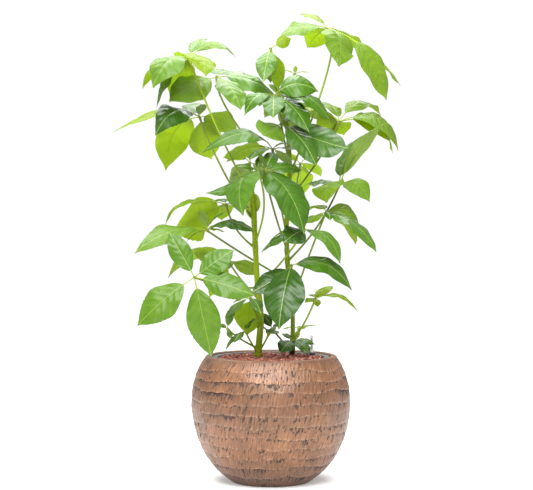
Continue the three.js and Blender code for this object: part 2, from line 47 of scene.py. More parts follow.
# camera first: straight on, a little above the plant's middle
cameraView = {
    "place": (0.0, -3.0, 0.53),
    "target": (-0.009, 0.0, 0.472),
    "lens": 101.3,
    "sensor": 36.0,
}


def addCamera():
    bpy.ops.object.camera_add(location=cameraView["place"])
    camera = bpy.context.object
    camera.name = "photoCamera"
    camera.data.lens = cameraView["lens"]
    camera.data.sensor_width = cameraView["sensor"]
    aim = Vector(cameraView["target"]) - Vector(cameraView["place"])
    camera.rotation_euler = aim.to_track_quat("-Z", "Y").to_euler()
    bpy.context.scene.camera = camera


addCamera()
print("camera set")


# small tools for picking, shaping and joining

def clearSelection():
    if bpy.context.object and bpy.context.object.mode != "OBJECT":
        bpy.ops.object.mode_set(mode="OBJECT")
    bpy.ops.object.select_all(action="DESELECT")


def pick(*pieces):
    clearSelection()
    for piece in pieces:
        piece.select_set(True)
    bpy.context.view_layer.objects.active = pieces[0]


def readPoints(piece):
    points = np.empty(len(piece.data.vertices) * 3, np.float32)
    piece.data.vertices.foreach_get("co", points)
    return points.reshape(-1, 3).astype(float)


def writePoints(piece, points):
    piece.data.vertices.foreach_set("co", np.asarray(points, np.float32).ravel())
    piece.data.update()


def addValues(piece, name, values):
    layer = piece.data.attributes.new(name, "FLOAT", "POINT")
    layer.data.foreach_set("value", np.asarray(values, np.float32))


def addVectors(piece, name, vectors):
    layer = piece.data.attributes.new(name, "FLOAT_VECTOR", "POINT")
    layer.data.foreach_set("vector", np.asarray(vectors, np.float32).ravel())


def mergeSeam(piece, distance=1e-6):
    pick(piece)
    bpy.ops.object.mode_set(mode="EDIT")
    bpy.ops.mesh.select_all(action="SELECT")
    bpy.ops.mesh.remove_doubles(threshold=distance)
    bpy.ops.object.mode_set(mode="OBJECT")


def joinPieces(name, pieces):
    pick(*pieces)
    if len(pieces) > 1:
        bpy.ops.object.join()
    joined = bpy.context.object
    joined.name = name
    return joined


def copyPiece(base, name):
    piece = base.copy()
    piece.data = base.data.copy()
    piece.name = name
    bpy.context.scene.collection.objects.link(piece)
    return piece


def removePiece(piece):
    bpy.data.objects.remove(piece)


def smoothFaces(piece, degrees=55):
    pick(piece)
    bpy.ops.object.shade_smooth_by_angle(angle=math.radians(degrees))


def makeSheet(name, across, along):
    # a flat unit grid: x across, y along, with a UV map that follows both
    clearSelection()
    bpy.ops.mesh.primitive_grid_add(x_subdivisions=across, y_subdivisions=along, size=1)
    sheet = bpy.context.object
    sheet.name = name
    return sheet


def sheetShares(sheet):
    points = readPoints(sheet)
    return points[:, 0] + 0.5, points[:, 1] + 0.5


def turnProfile(name, profile, steps):
    # a profile drawn point by point by extrusion and spun round the upright axis
    clearSelection()
    bpy.ops.mesh.primitive_plane_add(size=0.01)
    piece = bpy.context.object
    piece.name = name
    bpy.ops.object.mode_set(mode="EDIT")
    bpy.ops.mesh.select_all(action="SELECT")
    bpy.ops.mesh.merge(type="CENTER")
    radius, height = profile[0]
    bpy.ops.transform.translate(value=(radius, 0, height))
    for (fromRadius, fromHeight), (toRadius, toHeight) in zip(profile, profile[1:]):
        step = (toRadius - fromRadius, 0, toHeight - fromHeight)
        bpy.ops.mesh.extrude_vertices_move(TRANSFORM_OT_translate={"value": step})
    bpy.ops.mesh.select_all(action="SELECT")
    bpy.ops.mesh.spin(steps=steps, angle=2 * math.pi, center=(0, 0, 0), axis=(0, 0, 1))
    bpy.ops.mesh.select_all(action="SELECT")
    bpy.ops.mesh.remove_doubles(threshold=1e-6)
    bpy.ops.mesh.normals_make_consistent(inside=False)
    bpy.ops.object.mode_set(mode="OBJECT")
    return piece


def movePoints(piece, offset):
    writePoints(piece, readPoints(piece) + np.array(offset))


def settle(piece, material, slot, *nodes):
    # the finished piece rides on the plant's one body and stands for its solids
    if material:
        piece.data.materials.clear()
        piece.data.materials.append(material)
    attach(piece, "root")
    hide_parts(*nodes)


def sampleNoise(points):
    return np.array([noise.noise(point) for point in points.tolist()])


def smoothStep(low, high, values):
    share = np.clip((values - low) / (high - low), 0, 1)
    return share * share * (3 - 2 * share)


def splineThrough(knots, values, wanted):
    # a smooth curve through all the values, read at the wanted places
    knots = np.asarray(knots, float)
    values = np.asarray(values, float)
    slopes = np.gradient(values, knots, axis=0)
    index = np.clip(np.searchsorted(knots, wanted) - 1, 0, len(knots) - 2)
    width = knots[index + 1] - knots[index]
    t = (wanted - knots[index]) / width
    if values.ndim > 1:
        t = t[:, None]
        width = width[:, None]
    rise = values[index + 1] - values[index]
    first = slopes[index] * width
    last = slopes[index + 1] * width
    curve = first * t + (3 * rise - 2 * first - last) * t ** 2 + (first + last - 2 * rise) * t ** 3
    return values[index] + curve


# node helpers for the finishes

def srgb(red, green, blue):
    def linear(value):
        value = value / 255
        return value / 12.92 if value <= 0.04045 else ((value + 0.055) / 1.055) ** 2.4
    return (linear(red), linear(green), linear(blue), 1)


def newFinish(name):
    material = bpy.data.materials.new(name)
    material.use_nodes = True
    material.node_tree.nodes.clear()
    return material, material.node_tree


def addNode(tree, kind, inputs=(), **settings):
    made = tree.nodes.new(kind)
    for key, value in settings.items():
        setattr(made, key, value)
    for key, value in dict(inputs).items():
        if isinstance(value, bpy.types.NodeSocket):
            tree.links.new(value, made.inputs[key])
        else:
            made.inputs[key].default_value = value
    return made


def calc(tree, operation, *values, clamp=False):
    made = addNode(tree, "ShaderNodeMath", dict(enumerate(values)), operation=operation, use_clamp=clamp)
    return made.outputs[0]


def readValue(tree, name):
    return addNode(tree, "ShaderNodeAttribute", attribute_name=name).outputs["Fac"]


def readVector(tree, name):
    return addNode(tree, "ShaderNodeAttribute", attribute_name=name).outputs["Vector"]


def objectPlace(tree, stretch=(1, 1, 1)):
    place = addNode(tree, "ShaderNodeTexCoord").outputs["Object"]
    return addNode(tree, "ShaderNodeMapping", {"Vector": place, "Scale": stretch}).outputs[0]


def stretched(tree, vector, stretch):
    return addNode(tree, "ShaderNodeMapping", {"Vector": vector, "Scale": stretch}).outputs[0]


def grain(tree, vector, scale, detail=3.0, roughness=0.5):
    return addNode(tree, "ShaderNodeTexNoise", {
        "Vector": vector, "Scale": scale, "Detail": detail, "Roughness": roughness,
    }).outputs[0]


def spread(tree, value, low, high, toLow=0.0, toHigh=1.0):
    # the stretch from low to high of a value, eased, as a new range
    return addNode(tree, "ShaderNodeMapRange", {
        "Value": value, "From Min": low, "From Max": high, "To Min": toLow, "To Max": toHigh,
    }, interpolation_type="SMOOTHSTEP").outputs[0]


def colourRamp(tree, factor, stops):
    made = addNode(tree, "ShaderNodeValToRGB", {"Fac": factor})
    ramp = made.color_ramp
    while len(ramp.elements) < len(stops):
        ramp.elements.new(1.0)
    for element, (position, colour) in zip(ramp.elements, stops):
        element.position = position
        element.color = srgb(*colour)
    return made.outputs["Color"]


def mixColour(tree, factor, first, second, blend="MIX"):
    # plain triples are screen colours
    made = addNode(tree, "ShaderNodeMix", data_type="RGBA", blend_type=blend)
    for socket, value in ((0, factor), (6, first), (7, second)):
        if isinstance(value, tuple):
            value = srgb(*value)
        if isinstance(value, bpy.types.NodeSocket):
            tree.links.new(value, made.inputs[socket])
        else:
            made.inputs[socket].default_value = value
    return made.outputs[2]


def bump(tree, height, strength, distance, below=None):
    inputs = {"Height": height, "Strength": strength, "Distance": distance}
    if below:
        inputs["Normal"] = below
    return addNode(tree, "ShaderNodeBump", inputs).outputs[0]


def finishWith(tree, shader):
    output = addNode(tree, "ShaderNodeOutputMaterial")
    tree.links.new(shader, output.inputs["Surface"])


# pot: bellied pottery in overlapping tiers, combed and rubbed with a dark wash
pot = {
    # radius and height of each tier's lower edge
    "tierEdges": (
        (0.079, 0.0), (0.107, 0.022), (0.1245, 0.042), (0.1365, 0.062), (0.1455, 0.082), (0.152, 0.103),
        (0.1565, 0.124), (0.1595, 0.146), (0.1595, 0.168), (0.157, 0.19), (0.1515, 0.211), (0.1435, 0.231),
        (0.1325, 0.2478),
    ),
    # how far each tier overhangs the one below it, as a share of the ledge, and how dark the painted shade
    # and the wash are under it
    "tierDepths": (0.6, 0.9, 1.2, 0.7, 0.5, 1.0, 0.6, 0.8, 0.5, 1.5, 1.3, 0.7),
    # each tier's brightness, painted light and shade: lighter on the lower belly and near the lip, darker at
    # the foot and in the middle
    "paintedTierLights": (0.85, 1.0, 1.12, 1.2, 1.16, 1.08, 0.92, 0.86, 0.84, 0.92, 1.1, 1.1),
    "lip": (
        (0.1311, 0.2498), (0.129, 0.2511), (0.126, 0.2518), (0.1232, 0.2517), (0.1205, 0.2504),
        (0.1192, 0.248),
    ),
    "inside": (
        (0.1195, 0.243), (0.1245, 0.237), (0.132, 0.228), (0.141, 0.208), (0.1465, 0.185), (0.148, 0.155),
        (0.145, 0.125), (0.137, 0.095), (0.122, 0.064), (0.102, 0.038), (0.081, 0.0145), (0.04, 0.014),
        (0.0, 0.014),
    ),
    "foot": ((0.0, 0.0), (0.04, 0.0), (0.071, 0.0), (0.0774, 0.0003)),
    "around": 576,
    "rowShares": (0.0, 0.035, 0.09, 0.18, 0.29, 0.41, 0.53, 0.65, 0.77, 0.88, 1.0),
    "ledge": 0.0015,
    "edgeWobble": 0.0034,
    "edgeScallop": 0.0022,
    "tuck": 0.0008,
    "combDepth": 0.0006,
    "combWidth": 0.0042,
    "combLength": 0.024,
    "combRadius": 0.15,
    "slant": 0.22,
    "edgeRoll": 0.0005,
    "dents": 0.0011,
    "top": 0.252,
    # colours as the screen shows them, each ramp by its share, how strongly each wash covers, and how dark
    # the painted shade under the ledges is
    "clay": ((0.3, (87, 57, 33)), (0.5, (106, 69, 43)), (0.7, (133, 90, 59))),
    "combed": ((0.3, (71, 46, 28)), (0.47, (108, 71, 45)), (0.66, (146, 103, 71))),
    "rubbed": (176, 142, 114),
    # the colour of the painted shade under the ledges
    "shade": (82, 55, 40),
    "soot": (34, 26, 24),
    "combedShare": 0.55,
    "rubbedShare": 0.35,
    "paintedShadeShare": 0.36,
    "sootShare": 0.82,
    "metal": 0.08,
    "shine": 0.6,
}


def potRows():
    # every ring of the pot: its tier (or -1), its share up that tier, and its plain radius and height
    rows = [(-1, 0.0, radius, height) for radius, height in pot["foot"]]
    for tier in range(len(pot["tierEdges"]) - 1):
        rows += [(tier, share, 0.0, 0.0) for share in pot["rowShares"]]
    rows += [(-1, 0.0, radius, height) for radius, height in pot["lip"] + pot["inside"]]
    return np.array(rows)


def shapePot(sheet):
    around, along = sheetShares(sheet)
    rows = potRows()
    row = np.rint(along * (len(rows) - 1)).astype(int)
    tier, share, radius, height = rows[row].T
    angle = math.pi / 2 + 2 * math.pi * around
    edges = np.array(pot["tierEdges"])
    lastTier = len(edges) - 1
    cosine, sine = np.cos(angle), np.sin(angle)

    def edgeHeight(index):
        place = np.stack([cosine, sine, np.zeros_like(angle)], 1)
        offset = np.stack([0 * angle, 0 * angle, index * 7.31], 1)
        broad = sampleNoise(place * 2.2 + offset)
        fine = sampleNoise(place * 13 + offset * 1.7)
        finest = sampleNoise(place * 34 + offset * 2.3)
        free = (index > 0) & (index < lastTier)
        swing = pot["edgeWobble"] * broad * 2 + pot["edgeScallop"] * (fine + 0.6 * finest)
        return edges[np.clip(index, 0, lastTier).astype(int), 1] + np.where(free, swing, 0)

    onTier = tier >= 0
    low = edgeHeight(tier)
    high = edgeHeight(tier + 1) + np.where(tier + 1 < lastTier, pot["tuck"], 0)
    tierHeight = np.where(onTier, low + (high - low) * share, height)
    means = edges[:, 0] - pot["ledge"] / 2
    means[-1] = edges[-1, 0]
    meanRadius = splineThrough(edges[:, 1], means, np.clip(tierHeight, 0, edges[-1, 1]))
    belly = pot["combRadius"]
    twist = angle - pot["slant"] * tierHeight / belly
    # each tier gets a stretch of the noise of its own
    place = np.stack([np.cos(twist) * belly, np.sin(twist) * belly, share * 0.02 + tier * 0.13], 1)
    wide, tall = pot["combWidth"], pot["combLength"]
    comb = sampleNoise(place / (wide, wide, tall))
    comb = comb + 0.5 * sampleNoise(place / (wide / 2.3, wide / 2.3, tall / 2))
    patch = sampleNoise(np.stack([cosine * 3.1, sine * 3.1, tier * 5.7], 1))
    depths = np.array(pot["tierDepths"])
    ownDepth = depths[np.clip(tier, 0, lastTier - 1).astype(int)]
    overDepth = depths[np.clip(tier + 1, 0, lastTier - 1).astype(int)]
    patchy = np.clip(0.75 + 1.6 * patch, 0, 1.6)
    amount = patchy * (ownDepth * (1 - share) + overDepth * share)
    roll = pot["edgeRoll"] * (1 - smoothStep(0, 0.08, share))
    ledge = pot["ledge"] * amount * (0.5 - share) - roll * (tier > 0)
    dent = pot["dents"] * sampleNoise(np.stack([cosine * 5.5, sine * 5.5, tierHeight * 24], 1))
    onTopTier = tier == lastTier - 1
    fade = np.where(tier == 0, smoothStep(0, 0.3, share), 1) * np.where(onTopTier, 1 - 0.5 * share, 1)
    tierRadius = meanRadius + ledge + (np.clip(comb, -1, 0.5) * pot["combDepth"] + dent) * fade
    radius = np.where(onTier, tierRadius, radius)
    height = np.where(onTier, tierHeight, height)
    writePoints(sheet, np.stack([cosine * radius, sine * radius, np.clip(height, 0, pot["top"])], 1))
    addVectors(sheet, "grainPlace", place)
    addValues(sheet, "underLedge", np.where(onTier, smoothStep(0.3, 1, share), 0))
    addValues(sheet, "overEdge", np.where(onTier & (tier > 0), 1 - smoothStep(0.02, 0.24, share), 0))
    addValues(sheet, "ledgeDepth", amount)
    # each tier's painted light and shade
    lightTones = np.array(pot["paintedTierLights"])[np.clip(tier, 0, lastTier - 1).astype(int)]
    addValues(sheet, "paintedTierLight", np.where(onTier, lightTones, 1))
    onLip = (tier < 0) & (radius > 0.128) & (height > 0.24)
    workedTier = np.where(onTopTier, 1 - 0.4 * share ** 8, 1)
    addValues(sheet, "worked", np.where(onTier, workedTier, 0.6 * onLip))
    addValues(sheet, "groove", np.where(onTier, smoothStep(0.1, 0.7, -comb), 0))


def potFinish():
    material, tree = newFinish("copperPottery")
    place = readVector(tree, "grainPlace")
    worked = readValue(tree, "worked")
    under = readValue(tree, "underLedge")
    over = readValue(tree, "overEdge")
    groove = readValue(tree, "groove")
    depth = readValue(tree, "ledgeDepth")
    broad = grain(tree, objectPlace(tree), 16, 3)
    streaks = grain(tree, stretched(tree, place, (1, 1, 0.16)), 330, 4, 0.6)
    fineStreaks = grain(tree, stretched(tree, place, (1, 1, 0.1)), 800, 3, 0.55)
    speckle = grain(tree, objectPlace(tree), 520, 3, 0.6)
    clay = colourRamp(tree, broad, pot["clay"])
    combed = colourRamp(tree, streaks, pot["combed"])
    base = mixColour(tree, calc(tree, "MULTIPLY", worked, pot["combedShare"]), clay, combed)
    rubbed = calc(tree, "MULTIPLY", over, spread(tree, streaks, 0.4, 0.6), clamp=True)
    base = mixColour(tree, calc(tree, "MULTIPLY", rubbed, pot["rubbedShare"]), base, pot["rubbed"])
    # painted light and shade, tier by tier
    base = mixColour(tree, 1.0, base, readValue(tree, "paintedTierLight"), "MULTIPLY")
    # short dark strokes of wash: many under the ledges, a few scattered between
    patches = spread(tree, grain(tree, objectPlace(tree, (1, 1, 0.7)), 26, 2), 0.34, 0.62, 0.45, 1.0)
    strokes = grain(tree, stretched(tree, place, (1, 1, 0.42)), 250, 1.5, 0.5)
    strokeShare = calc(tree, "MULTIPLY", under, patches)
    strokeShare = calc(tree, "MULTIPLY", strokeShare, spread(tree, depth, 0.2, 1.5, 0.5, 1.5))
    strokeEdge = calc(tree, "SUBTRACT", 0.65, calc(tree, "MULTIPLY", strokeShare, 0.17))
    strokeMask = spread(tree, calc(tree, "SUBTRACT", strokes, strokeEdge), -0.01, 0.035)
    inGroove = calc(tree, "MULTIPLY", groove, 0.6)
    scratches = calc(tree, "MULTIPLY", spread(tree, fineStreaks, 0.58, 0.7), inGroove)
    wash = calc(tree, "MAXIMUM", strokeMask, scratches)
    wash = calc(tree, "MULTIPLY", wash, worked, clamp=True)
    soot = calc(tree, "MULTIPLY", wash, pot["sootShare"])
    # painted shade: darker under each ledge, more so under the deeper ledges, as the tier above shades it
    shade = calc(tree, "MULTIPLY", under, calc(tree, "MULTIPLY", worked, depth))
    shade = calc(tree, "MULTIPLY", shade, pot["paintedShadeShare"])
    base = mixColour(tree, shade, base, pot["shade"])
    base = mixColour(tree, soot, base, pot["soot"])
    rough = calc(tree, "ADD", spread(tree, speckle, 0.3, 0.7, 0.36, 0.48), calc(tree, "MULTIPLY", wash, 0.3))
    relief = calc(tree, "ADD", calc(tree, "MULTIPLY", streaks, 1.0), calc(tree, "MULTIPLY", speckle, 0.25))
    relief = calc(tree, "SUBTRACT", relief, calc(tree, "MULTIPLY", wash, 0.8))
    normal = bump(tree, calc(tree, "MULTIPLY", relief, worked), 0.7, 0.0012)
    normal = bump(tree, speckle, 0.12, 0.0006, normal)
    shader = addNode(tree, "ShaderNodeBsdfPrincipled", {
        "Base Color": base, "Roughness": rough, "Metallic": pot["metal"], "Normal": normal,
        "Specular IOR Level": pot["shine"],
    })
    finishWith(tree, shader.outputs[0])
    return material


def makePot():
    sheet = makeSheet("tieredPot", pot["around"], len(potRows()) - 1)
    shapePot(sheet)
    mergeSeam(sheet)
    smoothFaces(sheet, 70)
    settle(sheet, potFinish(), "pot", "pot")


makePot()
print("pot turned, combed and washed")


# liner: the grey moulded culture pot that stands inside
liner = {
    "profile": (
        (0.0, 0.0143), (0.078, 0.0143), (0.079, 0.0153), (0.1088, 0.244), (0.1094, 0.2462),
        (0.1158, 0.2462), (0.1172, 0.2468), (0.1173, 0.2478), (0.1168, 0.2484), (0.1156, 0.2484),
        (0.1146, 0.2479), (0.1112, 0.2479), (0.1098, 0.2484), (0.1082, 0.2484), (0.1075, 0.2478),
        (0.1068, 0.2446), (0.077, 0.0168), (0.0, 0.0163),
    ),
    "steps": 128,
    "greys": ((0.3, (76, 78, 80)), (0.55, (96, 98, 100)), (0.8, (112, 113, 114))),
}


def linerFinish():
    material, tree = newFinish("mouldedGreyPlastic")
    scuffs = grain(tree, objectPlace(tree, (1, 1, 3)), 130, 4, 0.6)
    fine = grain(tree, objectPlace(tree), 1600, 2)
    base = colourRamp(tree, scuffs, liner["greys"])
    shader = addNode(tree, "ShaderNodeBsdfPrincipled", {
        "Base Color": base, "Roughness": spread(tree, scuffs, 0.3, 0.7, 0.42, 0.6),
        "Normal": bump(tree, fine, 0.2, 0.0002),
    })
    finishWith(tree, shader.outputs[0])
    return material


def makeLiner():
    piece = turnProfile("culturePot", liner["profile"], liner["steps"])
    smoothFaces(piece, 40)
    settle(piece, linerFinish(), "liner", "liner")


makeLiner()
print("liner turned")


# plant: where the stems run, from their buried ends up, in millimetres, and the bark's colours: three
# for the young green, two for the brown wood that shows below a height in metres
stems = {
    "left": {
        "line": (
            (-22, 12, 160), (-26, 11, 248), (-21, 10, 320), (-28, 8, 407), (-32, 6, 484), (-36, 4, 560),
            (-38, 3, 584),
        ),
        "radii": (6, 6.8, 6.8, 5.8, 5.5, 5.3, 4.4),
        "ribs": 7, "ribDepth": 0.28, "around": 42, "along": 420,
        "piece": "leftStemBark", "finish": "greenBark", "woodBelow": 0.246,
        "young": ((96, 118, 0), (126, 146, 0), (148, 164, 10)), "old": ((66, 62, 20), (90, 88, 26)),
    },
    "right": {
        "line": (
            (41, 50, 160), (43, 50, 250), (44, 48, 330), (34, 42, 428), (32, 38, 514), (37, 30, 641),
            (24, 20, 742), (14, 14, 766),
        ),
        "radii": (5, 5.6, 4.6, 5.2, 5.1, 4.8, 4.2, 3.4),
        "ribs": 5, "ribDepth": 0.16, "around": 36, "along": 520,
        "piece": "rightStemBark", "finish": "greenBarkOverWood", "woodBelow": 0.262,
        "young": ((82, 104, 0), (110, 130, 2), (134, 150, 20)), "old": ((50, 34, 20), (80, 60, 38)),
    },
}
